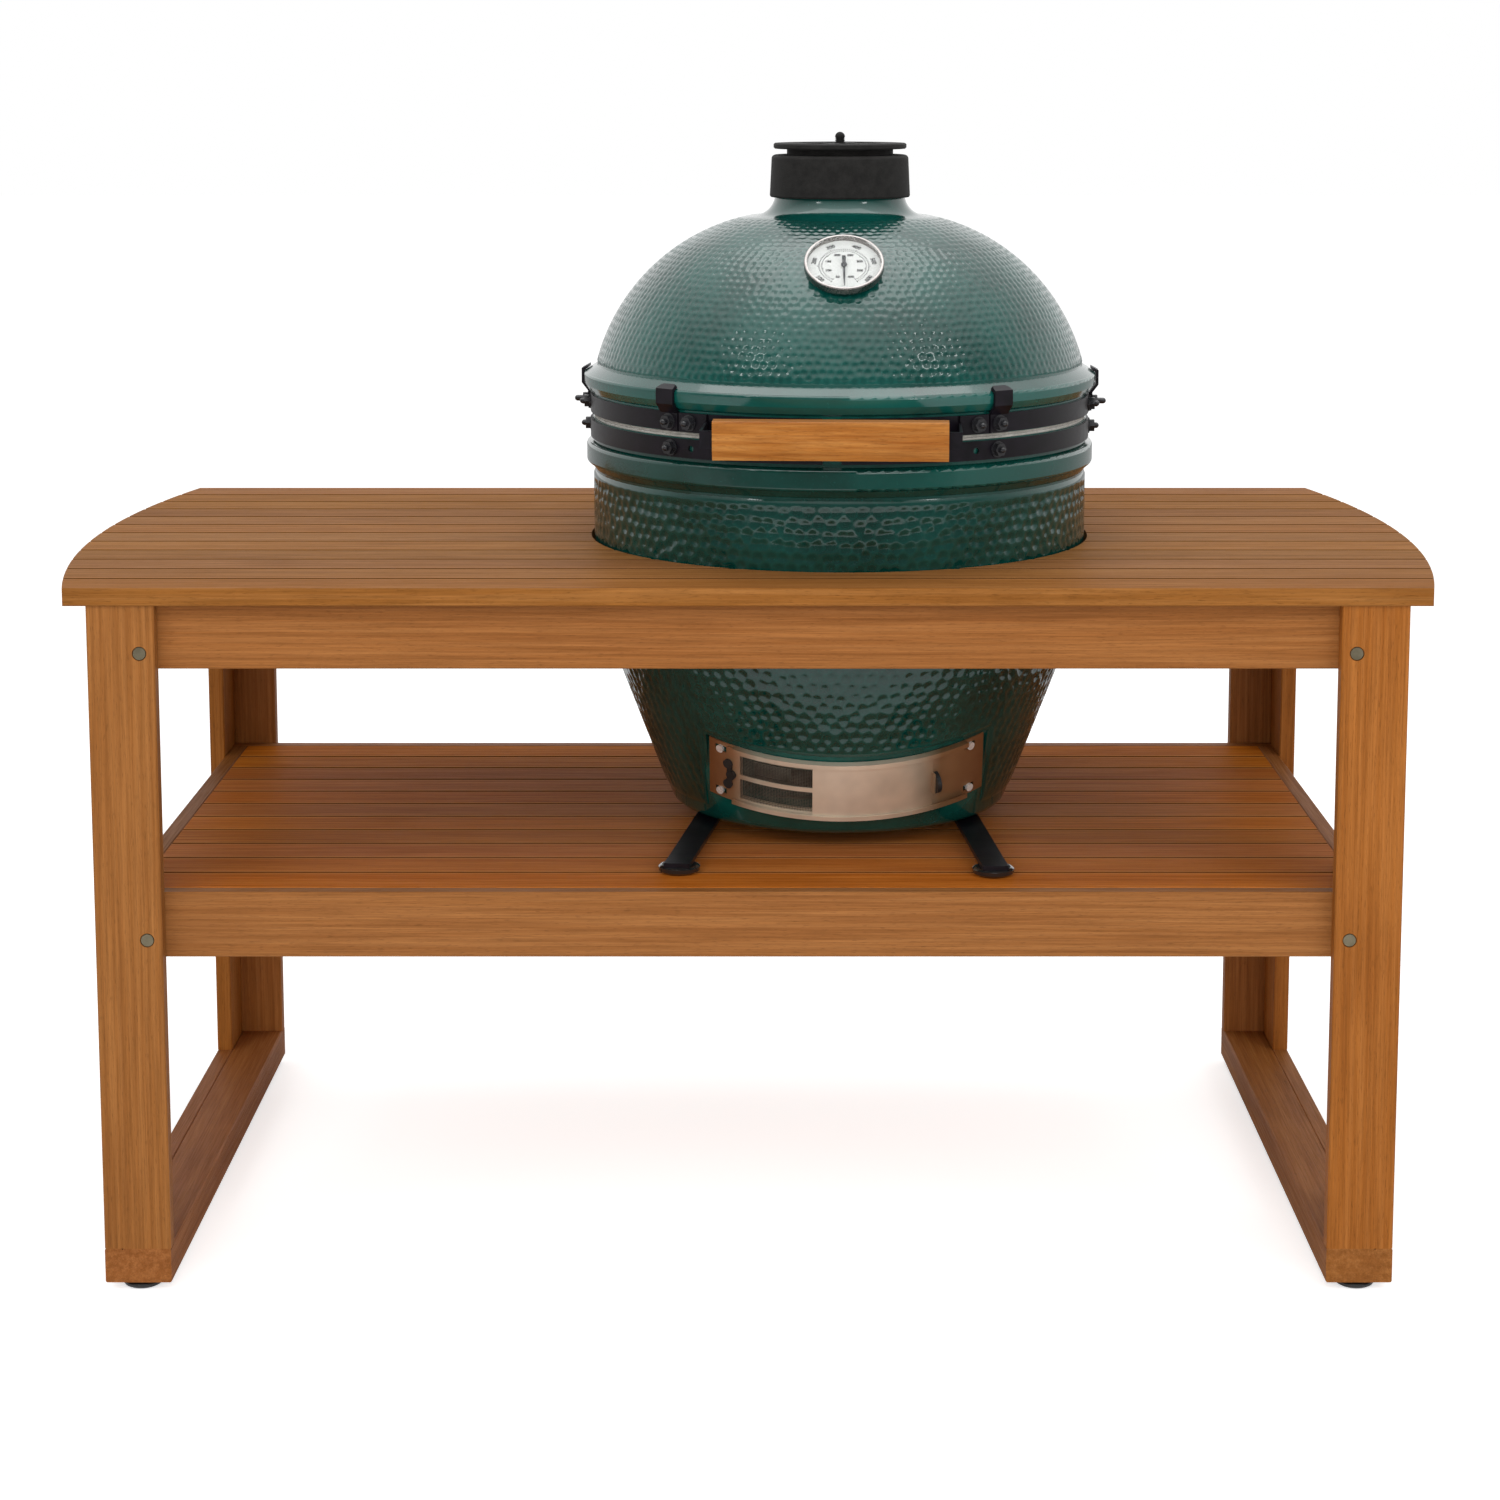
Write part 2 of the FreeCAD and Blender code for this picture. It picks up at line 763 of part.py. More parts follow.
def make_shelf():
    """Slats that lie between the shelf rails on four battens."""
    width = f"((2 * {BAY_DEPTH} - (shelf_slats - 1) * shelf_gap) / shelf_slats)"
    length = f"2 * ({BAY_LENGTH} - shelf_end_gap)"
    slats = [board(f"shelf_slat_{row + 1:02d}", "X", (length, width, "shelf_thickness"),
                   placed(f"shelf_end_gap - {BAY_LENGTH}", f"-{BAY_DEPTH} + {row} * ({width} + shelf_gap)",
                          "shelf_height - shelf_thickness"))
             for row in range(int(value("shelf_slats")))]
    keep(group("shelf_slats", *slats))
    spread = f"({BAY_LENGTH} - batten_width)"
    battens = [board(f"shelf_batten_{number + 1}", "Y",
                     ("batten_width", f"2 * {BAY_DEPTH}", "batten_height"),
                     placed(f"{share} * {spread} - batten_width / 2", f"-{BAY_DEPTH}",
                            "shelf_height - shelf_thickness - batten_height"))
               for number, share in enumerate(("-0.9", "-0.3", "0.3", "0.9"))]
    keep(group("shelf_battens", *battens))


# Stand under the grill, in the grill's own frame

def make_stand():
    """A welded ring with four splayed strap legs, and the cups that they stand on."""
    ring = cut("stand_ring", rod("stand_disc", "stand_ring_radius", "stand_plate", placed(z="-stand_plate")),
               rod("stand_eye", "stand_ring_radius - stand_ring_width", "stand_plate",
                   placed(z="-stand_plate")))
    drop = "(stand_height - stand_foot_height)"
    middle = "(stand_ring_radius - stand_ring_width / 2)"
    legs, feet = [], []
    for side_name, side in SIDES.items():
        for end_name, end in ENDS.items():
            root = (f"{side} * {middle} * sin(stand_root_angle)", f"{end} * {middle} * cos(stand_root_angle)")
            heading = f"{end * 90} - {side * end} * stand_leg_splay"
            seat = placed(root[0], root[1], "0", [("Z", heading)])
            body = new_body(f"stand_leg_{end_name}_{side_name}")
            corners = [
                ("-stand_ring_width / 3", "-stand_plate"),
                ("0", "-stand_plate"),
                ("stand_leg_reach - stand_foot_radius", f"-{drop}"),
                ("stand_leg_reach + stand_toe", f"-{drop}"),
                ("stand_leg_reach + stand_toe", f"-{drop} + stand_plate"),
                ("stand_leg_reach - stand_foot_radius", f"-{drop} + stand_plate"),
                ("stand_plate", "0"),
                ("-stand_ring_width / 3", "0"),
            ]
            pad(body, sketched(body, "XZ_Plane", corners), "stand_leg_width", middle=True)
            legs.append(place(body, seat))
            cup = turned(f"stand_cup_{end_name}_{side_name}", [
                ("0", "-stand_height"),
                ("stand_foot_radius - 4", "-stand_height"),
                ("stand_foot_radius", "-stand_height + 3"),
                ("stand_foot_radius", f"-{drop} - 2", "6", -1),
                ("stand_foot_radius - 4", f"-{drop}"),
                ("0", f"-{drop}"),
            ])
            feet.append(place(cup, seat, placed("stand_leg_reach - 4")))
    keep(place(fuse("stand_frame", ring, *legs), STAND))
    keep(place(group("stand_feet", *feet), STAND))


# Ceramic base, in the grill's own frame

CONE_TOP = "(cone_foot_radius + cone_height * tan(wall_angle))"
BELLY_ARC = f"((body_radius - {CONE_TOP}) / (1 - cos(wall_angle)))"
BELLY_TOP = f"(cone_height + {BELLY_ARC} * sin(wall_angle))"
FOOT_TANGENT = "(foot_round * tan((90 - wall_angle) / 2))"
FOOT_RADIUS = "(cone_foot_radius - foot_depth * tan(wall_angle))"
BASE_BORE = "(body_radius - wall_thickness)"
SEAM = "(base_height + gasket_thickness + gasket_gap / 2)"
LID_LOW = "(base_height + 2 * gasket_thickness + gasket_gap)"

# The draft door slides on a cylinder whose axis leans with the front wall
DOOR_RADIUS = "((cone_foot_radius + door_height_middle * tan(wall_angle)) / cos(wall_angle))"
DOOR_AXIS_HEIGHT = f"(door_height_middle + {DOOR_RADIUS} * sin(wall_angle))"
DOOR = placed(z=DOOR_AXIS_HEIGHT, turns=[("X", "wall_angle")])
DOOR_BACK = f"({DOOR_RADIUS} + door_seat_rise)"
SCREEN_BACK = f"({DOOR_BACK} + door_plate + door_layer_gap)"
PANEL_BACK = f"({SCREEN_BACK} + door_sheet + door_layer_gap)"
LIP_BACK = f"({PANEL_BACK} + door_sheet + door_layer_gap)"


def base_blank():
    """The base before its openings: foot, cone, belly and a rim under the seam."""
    return turned("base_blank", [
        ("0", "0"),
        ("foot_hollow_radius", "0"),
        ("foot_hollow_radius", "-foot_depth"),
        (f"{FOOT_RADIUS} - {FOOT_TANGENT}", "-foot_depth", "foot_round", -1),
        (f"{FOOT_RADIUS} + {FOOT_TANGENT} * sin(wall_angle)", f"{FOOT_TANGENT} * cos(wall_angle) - foot_depth"),
        (CONE_TOP, "cone_height", BELLY_ARC, -1),
        ("body_radius", BELLY_TOP),
        ("body_radius", "rim_low - rim_cove"),
        ("rim_radius - rim_round", "rim_low", "rim_round", -1),
        ("rim_radius", "rim_low + rim_round"),
        ("rim_radius", "rim_high - rim_round", "rim_round", -1),
        ("rim_radius - rim_round", "rim_high"),
        ("seam_radius", "rim_high + rim_round / 2"),
        ("seam_radius", "base_height"),
        (BASE_BORE, "base_height"),
        (BASE_BORE, BELLY_TOP, f"{BELLY_ARC} - wall_thickness", 1),
        (f"{CONE_TOP} - wall_thickness * cos(wall_angle)", "cone_height + wall_thickness * sin(wall_angle)"),
        ("cone_foot_radius + floor_thickness * tan(wall_angle) - wall_thickness / cos(wall_angle)",
         "floor_thickness"),
        ("0", "floor_thickness"),
    ])


def make_base():
    """The base with a curved seat for the draft door and the draft opening behind it."""
    seat = place(curved_strip("door_seat_strip", f"{DOOR_BACK} - door_seat_gap", f"{DOOR_BACK} + 40",
                              "-door_height / 2 - 2", "door_height / 2 + 2",
                              "-frame_start - 1", "frame_end + 1"),
                 DOOR, placed(turns=[("Z", "(frame_end - frame_start) / 2 - 90")]))
    port = place(curved_strip("draft_port", f"{DOOR_RADIUS} / 2", f"{DOOR_RADIUS} + 20",
                              "-window_height / 2 + draft_edge_gap", "window_height / 2 - draft_edge_gap",
                              "-window_start", "window_end"),
                 DOOR, placed(turns=[("Z", "(window_end - window_start) / 2 - 90")]))
    floor = rod("base_floor", "body_radius", "floor_thickness")
    port_above_floor = cut("draft_port_above_floor", port, floor)
    tools = group("base_openings", seat, port_above_floor, *door_screw_rods("door_screw_holes"))
    keep(place(cut("grill_base", base_blank(), tools), GRILL))


def door_screw_places():
    """Angle and height of the four screws at the ends of the draft door's frame."""
    for name, angle in (("left", "-(frame_start - door_screw_inset)"), ("right", "frame_end - door_screw_inset_right")):
        for level, height in (("low", "-door_screw_spread"), ("high", "door_screw_spread")):
            yield f"{name}_{level}", angle, height


def door_seat(angle, height, radius):
    """A place on the door's cylinder, its own Z pointing outwards, seen from the cylinder."""
    return [placed(turns=[("Z", angle)]), placed(y=f"-{radius}", z=height, turns=[("X", "90")])]


def door_screw_rods(label):
    """Rods along the screws, as deep as the screws reach into the ceramic."""
    return [rod(f"{label}_{name}", "door_screw_radius + bolt_hole_gap", "14",
                DOOR, *door_seat(angle, height, f"({DOOR_BACK} - 12)"))
            for name, angle, height in door_screw_places()]


def make_draft_door():
    """Frame with rails, screws, sliding screen with its mesh, and sliding panel."""
    lip_top = "door_height / 2"
    lip_low = "(door_height / 2 - door_lip)"
    plate = curved_strip("door_back_plate", DOOR_BACK, f"{DOOR_BACK} + door_plate",
                         "-door_height / 2", "door_height / 2", "-frame_start", "frame_end")
    window = curved_strip("door_window", f"{DOOR_BACK} - 1", f"{DOOR_BACK} + door_plate + 1",
                          "-window_height / 2", "window_height / 2", "-window_start", "window_end")
    slots = [block(f"door_slot_{name}", ("door_slot_length", "door_slot_width", "10"),
                   *door_seat(angle, height, DOOR_BACK), placed("-door_slot_length / 2", "-door_slot_width / 2", "-4"))
             for name, angle, height in door_screw_places()]
    rails = []
    for name, sign in (("low", -1), ("high", 1)):
        web = sorted((f"{sign} * ({lip_top} - door_plate)", f"{sign} * {lip_top}"), key=value)
        lip = sorted((f"{sign} * {lip_low}", f"{sign} * {lip_top}"), key=value)
        rails.append(curved_strip(f"door_rail_web_{name}", f"{DOOR_BACK} + door_plate / 2",
                                  f"{LIP_BACK} + door_plate / 2", web[0], web[1], "-rail_start", "rail_end"))
        rails.append(curved_strip(f"door_rail_lip_{name}", LIP_BACK, f"{LIP_BACK} + door_plate",
                                  lip[0], lip[1], "-rail_start", "rail_end"))
    frame = cut("door_frame", fuse("door_frame_blank", plate, *rails), group("door_cuts", window, *slots))
    keep(place(frame, GRILL, DOOR))

    screws = []
    for name, angle, height in door_screw_places():
        head = rod(f"door_screw_head_{name}", "door_screw_head", "door_screw_height",
                   DOOR, *door_seat(angle, height, f"({DOOR_BACK} + door_plate)"))
        shank = rod(f"door_screw_shank_{name}", "door_screw_radius", "12",
                    DOOR, *door_seat(angle, height, f"({DOOR_BACK} + door_plate - 11)"))
        screws.append(fuse(f"door_screw_{name}", head, shank))
    keep(place(group("door_screws", *screws), GRILL))

    # Between the rails there is room for a sheet with a small gap above and below
    sheet_top = "(door_height / 2 - door_plate - door_layer_gap)"
    screen_end = "(screen_sweep - screen_start)"
    sheet_blank = curved_strip("screen_sheet", SCREEN_BACK, f"{SCREEN_BACK} + door_sheet",
                               f"-{sheet_top}", sheet_top, "-screen_start", screen_end)
    views = [curved_strip(f"screen_view_{name}", f"{SCREEN_BACK} - 1", f"{SCREEN_BACK} + door_sheet + 1",
                          low, high, "-screen_start + screen_border", f"{screen_end} - screen_border")
             for name, low, high in (
                 ("low", f"-{sheet_top} + screen_bar", "-screen_bar / 2"),
                 ("high", "screen_bar / 2", f"{sheet_top} - screen_bar"))]
    screen = cut("screen_frame", sheet_blank, group("screen_views", *views))
    keep(place(screen, GRILL, DOOR))
    mesh_back = f"({SCREEN_BACK} + (door_sheet - mesh_thickness) / 2)"
    mesh = [curved_strip(f"screen_mesh_{name}", mesh_back, f"{mesh_back} + mesh_thickness",
                         low, high, "-screen_start + screen_border", f"{screen_end} - screen_border")
            for name, low, high in (
                ("low", f"-{sheet_top} + screen_bar", "-screen_bar / 2"),
                ("high", "screen_bar / 2", f"{sheet_top} - screen_bar"))]
    keep(place(group("screen_mesh", *mesh), GRILL, DOOR))
    knob_angle = "(-screen_start + screen_knob_inset)"
    knob_parts = [rod("knob_middle", "screen_knob_radius", "screen_knob_thickness",
                      *door_seat(knob_angle, "0", f"({SCREEN_BACK} + door_sheet)"))]
    for name, sign in (("low", -1), ("high", 1)):
        knob_parts.append(rod(f"knob_lobe_{name}", "knob_lobe_radius", "knob_lobe_thickness",
                              *door_seat(f"({knob_angle} - knob_lobe_lean)", f"{sign} * knob_lobe_rise",
                                         f"({SCREEN_BACK} + door_sheet)")))
    knob_parts.append(block("knob_spine", ("knob_lobe_radius", "2 * knob_lobe_rise", "knob_lobe_thickness"),
                            *door_seat(f"({knob_angle} - knob_lobe_lean / 2)", "0", f"({SCREEN_BACK} + door_sheet)"),
                            placed("-knob_lobe_radius / 2", "-knob_lobe_rise")))
    keep(place(fuse("screen_knob", *knob_parts), GRILL, DOOR))

    panel_end = "(panel_sweep - panel_start)"
    sheet_panel = curved_strip("panel_sheet", PANEL_BACK, f"{PANEL_BACK} + door_sheet",
                               f"-{sheet_top}", sheet_top, "-panel_start", panel_end)
    tab = block("panel_tab", ("door_sheet", "tab_reach", "tab_height"),
                placed(turns=[("Z", panel_end)]),
                placed("-door_sheet", f"-{PANEL_BACK} - tab_reach", "-tab_height / 2"))
    panel = fuse("door_panel", sheet_panel, tab)
    keep(place(panel, GRILL, DOOR))
    knob_edge = f"-{PANEL_BACK} - door_sheet - door_layer_gap"
    keep(rod("door_knob", "door_knob_radius", "door_knob_thickness",
             GRILL, DOOR, placed(turns=[("Z", panel_end)]),
             placed("0", knob_edge, "0", [("Z", "180"), ("Y", "-90")]), sweep="180"))


# Felt, bands and what is bolted to them

BAND_BORE = "(seam_radius + band_gap)"
BAND_FACE = "(seam_radius + band_gap + band_thickness)"
LOWER_BAND_TOP = f"({SEAM} - gasket_thickness - band_seam_gap)"
LOWER_BAND_LOW = f"({LOWER_BAND_TOP} - band_height)"
UPPER_BAND_LOW = f"({SEAM} + gasket_thickness + band_seam_gap)"
UPPER_BAND_TOP = f"({UPPER_BAND_LOW} + band_height)"
STRAP_FACE = f"({BAND_FACE} + strap_gap)"
HOOK_ANGLES = {
    "front_left": "-hook_angle",
    "front_right": "hook_angle",
    "side_left": "-side_hook_angle",
    "side_right": "side_hook_angle",
}


def hoop(label, inner, outer, low, high):
    """A flat ring about the grill's axis."""
    return turned(label, [(inner, low), (outer, low), (outer, high), (inner, high)])


def out_from(angle, radius, height):
    """A place on the bands, its own Z pointing outwards at this angle right of the front."""
    return [placed(turns=[("Z", angle)]), placed(y=f"-{radius}", z=height, turns=[("X", "90")])]


def band_bolt_places():
    """Name, band, angle, thickness under the washer, reach and height of each band bolt."""
    middle = {"upper": f"({UPPER_BAND_LOW} + band_height / 2)", "lower": f"({LOWER_BAND_LOW} + band_height / 2)"}
    for name, angle in HOOK_ANGLES.items():
        inwards = "second_bolt_step" if angle.startswith("-") else "-second_bolt_step"
        reach = "side_bolt_reach" if name.startswith("side") else "band_bolt_reach"
        yield f"{name}_hook", "upper", angle, "hook_thickness + strap_gap", reach, middle["upper"]
        seat = "strap_thickness + strap_gap" if name.startswith("front") else "0"
        yield f"{name}_second", "upper", f"{angle} + {inwards}", seat, "band_bolt_reach", middle["upper"]
        yield f"{name}_low", "lower", angle, "0", "band_bolt_reach", middle["lower"]
    for name, sign in SIDES.items():
        angle = f"180 + {sign} * hinge_bolt_angle"
        for level in ("upper", "lower"):
            seat = "hinge_plate + strap_gap"
            yield f"hinge_{name}_{level}", level, angle, seat, "band_bolt_reach", middle[level]


def band_bolts(level):
    """The bolts of one band with washers and nuts, and the rods that cut their holes."""
    bolts, holes = [], []
    for name, where, angle, seat, reach, middle in band_bolt_places():
        if where != level:
            continue
        start = f"({BAND_FACE} + {seat} + running_gap)"
        washer = rod(f"washer_{name}", "washer_radius", "washer_thickness", *out_from(angle, start, middle))
        nut = made("Part::Prism", f"band_nut_{name}", Circumradius="band_bolt_head",
                   Height="washer_thickness + band_nut_height")
        nut.Polygon = 6
        place(nut, *out_from(angle, start, middle))
        shank = rod(f"band_shank_{name}", "band_bolt_radius",
                    f"{start} - {BAND_BORE} + washer_thickness + {reach}",
                    *out_from(angle, f"({BAND_BORE} + running_gap)", middle))
        tip = made("Part::Sphere", f"band_tip_{name}", Radius="band_bolt_radius")
        place(tip, *out_from(angle, f"({start} + washer_thickness + {reach})", middle))
        bolts.append(fuse(f"band_bolt_{name}", washer, nut, shank, tip))
        holes.append(rod(f"band_hole_{name}", "band_bolt_radius + bolt_hole_gap", "band_thickness * 5",
                         *out_from(angle, f"({BAND_BORE} - band_thickness)", middle)))
    return bolts, holes


def open_holes(level, middle):
    """Spare holes beside the front hooks of the lower band."""
    return [rod(f"spare_hole_{name}", "band_bolt_radius + bolt_hole_gap", "band_thickness * 5",
                *out_from(f"{angle} + {step}", f"({BAND_BORE} - band_thickness)", middle))
            for name, angle, step in (("left", "-hook_angle", "second_bolt_step"),
                                      ("right", "hook_angle", "-second_bolt_step"))]


def hook(name, angle):
    """A bent strap from the upper band up over the rim of the dome."""
    inner = STRAP_FACE
    outer = f"({STRAP_FACE} + hook_thickness)"
    stand = "(lid_rim_radius + hook_gap)"
    under = f"({LID_LOW} + lid_rim_low)"
    top = f"({LID_LOW} + lid_rim_high)"
    body = new_body(f"hook_{name}")
    corners = [
        (inner, UPPER_BAND_LOW),
        (outer, UPPER_BAND_LOW),
        (outer, f"{UPPER_BAND_TOP} - 1"),
        (f"{stand} + hook_thickness", f"{under} + 5"),
        (f"{stand} + hook_thickness", f"{top} + 2.6"),
        (f"{stand} - hook_lip", f"{top} + hook_lip * 0.65 + hook_thickness * 1.25"),
        (f"{stand} - hook_lip", f"{top} + hook_lip * 0.65"),
        (stand, top),
        (stand, f"{under} + 6"),
        (inner, f"{UPPER_BAND_TOP} + 0.5"),
    ]
    pad(body, sketched(body, "XZ_Plane", corners), "hook_width", middle=True)
    tip = f"({top} + hook_lip * 0.65 + hook_thickness * 1.25)"
    trims = []
    for end in (-1, 1):
        middle = (f"{stand} - hook_lip - 1", f"{end} * (hook_width / 2 - hook_corner)", f"{tip} - hook_corner")
        square = block(f"hook_square_{name}_{end + 1}", ("hook_lip + hook_thickness + 3", "hook_corner", "hook_corner"),
                       placed(middle[0], middle[1] if end > 0 else "-hook_width / 2", middle[2]))
        rounded = rod(f"hook_rounding_{name}_{end + 1}", "hook_corner", "hook_lip + hook_thickness + 3",
                      placed(*middle, turns=[("Y", "90")]))
        trims.append(cut(f"hook_trim_{name}_{end + 1}", square, rounded))
    body = cut(f"hook_strap_{name}", body, group(f"hook_trims_{name}", *trims))
    return place(body, placed(turns=[("Z", f"{angle} - 90")]))


def handle_bracket(name, side):
    """A strap from the upper band to the grip: a curved foot, an arm forwards and a tang inwards."""
    low = "(grip_middle_height - strap_height / 2)"
    arm_x = "(grip_length / 2 + strap_stand_out)"
    tang_y = "(grip_reach - grip_depth / 2)"
    starts = ("strap_foot_start", "strap_foot_end") if side > 0 else ("-strap_foot_end", "-strap_foot_start")
    foot = curved_strip(f"bracket_foot_{name}", STRAP_FACE, f"{STRAP_FACE} + strap_thickness",
                        UPPER_BAND_LOW, UPPER_BAND_TOP, *starts)
    foot_face = f"sqrt({STRAP_FACE} ^ 2 - ({arm_x} - strap_thickness) ^ 2)"
    arm = block(f"bracket_arm_{name}", ("strap_thickness", f"{tang_y} + strap_thickness / 2 - {foot_face}",
                                        "strap_height"),
                placed(low_side(side, arm_x, "strap_thickness"), f"-{tang_y} - strap_thickness / 2", low))
    tang = block(f"bracket_tang_{name}", ("strap_stand_out + tang_length", "strap_thickness", "strap_height"),
                 placed(low_side(side, arm_x, "strap_stand_out + tang_length"),
                        f"-{tang_y} - strap_thickness / 2", low))
    return fuse(f"handle_bracket_{name}", foot, arm, tang)


def grip():
    """The wooden bar of the handle, with a deep chamfer below and slots for the tangs."""
    body = new_body("grip_bar")
    front, back = "-grip_reach", "(grip_depth - grip_reach)"
    low, high = "(grip_middle_height - grip_height / 2)", "(grip_middle_height + grip_height / 2)"
    corners = [
        (f"{front} + grip_chamfer / 2", low),
        (f"{back} - grip_chamfer", low),
        (back, f"{low} + grip_chamfer"),
        (back, f"{high} - grip_round", "grip_round", -1),
        (f"{back} - grip_round", high),
        (f"{front} + grip_round", high, "grip_round", -1),
        (front, f"{high} - grip_round"),
        (front, f"{low} + grip_chamfer"),
    ]
    pad(body, sketched(body, "YZ_Plane", corners), "grip_length", middle=True)
    slots = [block(f"tang_slot_{name}", ("tang_length + 2 * tang_gap", "strap_thickness + 2 * tang_gap",
                                         "strap_height + 2 * tang_gap"),
                   placed(low_side(side, "grip_length / 2 + tang_gap", "tang_length + 2 * tang_gap"),
                          "-grip_reach + grip_depth / 2 - strap_thickness / 2 - tang_gap",
                          "grip_middle_height - strap_height / 2 - tang_gap"))
             for name, side in SIDES.items()]
    return cut("handle_grip", body, group("tang_slots", *slots))


def make_seam():
    """Gaskets, bands, bolts, hooks and the handle."""
    lower_gasket = hoop("lower_gasket", "seam_radius - gasket_inset - gasket_width", "seam_radius - gasket_inset",
                        "base_height", "base_height + gasket_thickness")
    keep(place(lower_gasket, GRILL))
    upper_gasket = hoop("upper_gasket", "seam_radius - gasket_inset - gasket_width", "seam_radius - gasket_inset",
                        f"{LID_LOW} - gasket_thickness", LID_LOW)
    keep(place(upper_gasket, GRILL))
    for level, low in (("lower", LOWER_BAND_LOW), ("upper", UPPER_BAND_LOW)):
        bolts, holes = band_bolts(level)
        if level == "lower":
            holes = holes + open_holes(level, f"({LOWER_BAND_LOW} + band_height / 2)")
        drill = group(f"{level}_band_drill", *holes)
        ring = curved_strip(f"{level}_band_blank", BAND_BORE, BAND_FACE, low, f"{low} + band_height",
                            "band_split / 2", "360 - band_split / 2")
        keep(place(cut(f"{level}_band", ring, drill), BANDS))
        keep(place(group(f"{level}_band_bolts", *bolts), BANDS))
        bracket = hinge_bracket(level, low)
        keep(place(cut(f"hinge_{level}_bracket", bracket, drill), BANDS))
        if level == "upper":
            hooks = [hook(name, angle) for name, angle in HOOK_ANGLES.items()]
            keep(place(cut("rim_hooks", group("hooks_blank", *hooks), drill), BANDS))
            brackets = [handle_bracket(name, side) for name, side in SIDES.items()]
            keep(place(cut("handle_brackets", group("brackets_blank", *brackets), drill), BANDS))
    keep(place(grip(), BANDS))


# Hinge behind the grill

def hinge_bracket(level, low):
    """A curved foot on the band and two ears that reach back to the pin."""
    foot_inner, foot_outer = STRAP_FACE, f"({STRAP_FACE} + hinge_plate)"
    high = f"({low} + band_height)"
    outer_face = "hinge_lower_ear" if level == "lower" else "(hinge_lower_ear - hinge_plate - hinge_ear_gap)"
    foot = curved_strip(f"hinge_{level}_foot", foot_inner, foot_outer, low, high,
                        "180 - hinge_foot_angle", "180 + hinge_foot_angle")
    root = f"sqrt({foot_inner} ^ 2 - {outer_face} ^ 2)"
    root_low = low if level == "lower" else f"({SEAM} + 1)"
    root_high = high if level == "upper" else f"({SEAM} - 1)"
    corners = [
        (root, root_low),
        ("hinge_reach", f"{SEAM} - hinge_eye_radius", "hinge_eye_radius + 0.001", -1),
        ("hinge_reach", f"{SEAM} + hinge_eye_radius"),
        (root, root_high),
    ]
    ears = []
    for name, side in SIDES.items():
        body = new_body(f"hinge_{level}_ear_{name}")
        pad(body, sketched(body, "YZ_Plane", corners), "hinge_plate")
        ears.append(place(body, placed(low_side(side, outer_face, "hinge_plate"))))
    bore = rod(f"hinge_{level}_bore", "hinge_pin_radius + running_gap", "4 * hinge_lower_ear",
               placed("-2 * hinge_lower_ear", "hinge_reach", SEAM, [("Y", "90")]))
    inside = rod(f"hinge_{level}_inside", STRAP_FACE, "2 * band_height", placed(z=f"{low} - band_height / 2"))
    return cut(f"hinge_{level}_blank", fuse(f"hinge_{level}_whole", foot, *ears),
               group(f"hinge_{level}_cuts", bore, inside))


def hinge_pin():
    """The pin through all four ears, with a head at each end."""
    start = "hinge_lower_ear + hinge_ear_gap / 4"
    seat = placed(f"-({start})", "hinge_reach", SEAM, [("Y", "90")])
    shaft = rod("hinge_shaft", "hinge_pin_radius", f"2 * ({start})", seat)
    heads = [rod(f"hinge_head_{name}", "hinge_pin_head", "hinge_pin_head_length",
                 placed(low_side(side, f"{start} + hinge_pin_head_length", "hinge_pin_head_length"),
                        "hinge_reach", SEAM, [("Y", "90")]))
             for name, side in SIDES.items()]
    return fuse("hinge_pin", shaft, *heads)


def biarc(start, start_way, end, end_way):
    """Two arcs that meet smoothly, between two points with given directions."""
    across = end - start
    ways = start_way + end_way
    spread = 2 * (1 - start_way.dot(end_way))
    reach = (-across.dot(ways) + (across.dot(ways) ** 2 + spread * across.dot(across)) ** 0.5) / spread
    first_apex, second_apex = start + start_way * reach, end - end_way * reach
    middle = (first_apex + second_apex) * 0.5
    arcs = []
    for low, apex, high in ((start, first_apex, middle), (middle, second_apex, end)):
        chord = (low + high) * 0.5
        half_turn = (apex - low).getAngle(high - apex) / 2
        crown = chord + (apex - chord) * (math.cos(half_turn) / (1 + math.cos(half_turn)))
        arcs.append(Part.Arc(low, crown, high).toShape())
    return arcs


def coil_path(radius, pitch, turns, low_leg, high_leg):
    """A coil about Z in quarter turns, with a straight leg off each end along -Y."""
    def point(turn):
        angle = 2 * math.pi * turn
        return Vector(radius * math.cos(angle), radius * math.sin(angle), pitch * turn)

    def way(turn):
        angle = 2 * math.pi * turn
        circle = 2 * math.pi * radius
        return Vector(-circle * math.sin(angle), circle * math.cos(angle), pitch).normalize()

    quarters = int(4 * turns)
    edges = [Part.makeLine(point(0) - way(0) * low_leg, point(0))]
    for quarter in range(quarters):
        turn, after = quarter / 4, (quarter + 1) / 4
        edges.extend(biarc(point(turn), way(turn), point(after), way(after)))
    last = quarters / 4
    edges.append(Part.makeLine(point(last), point(last) + way(last) * high_leg))
    return Part.Wire(edges)


def least_gap(path, wire):
    """The least gap of a round wire to itself, from points along its path."""
    points = path.discretize(Distance=wire / 2)
    skip = 6
    return min(points[low].distanceToPoint(point) for high, point in enumerate(points)
               for low in range(high - skip)) - wire


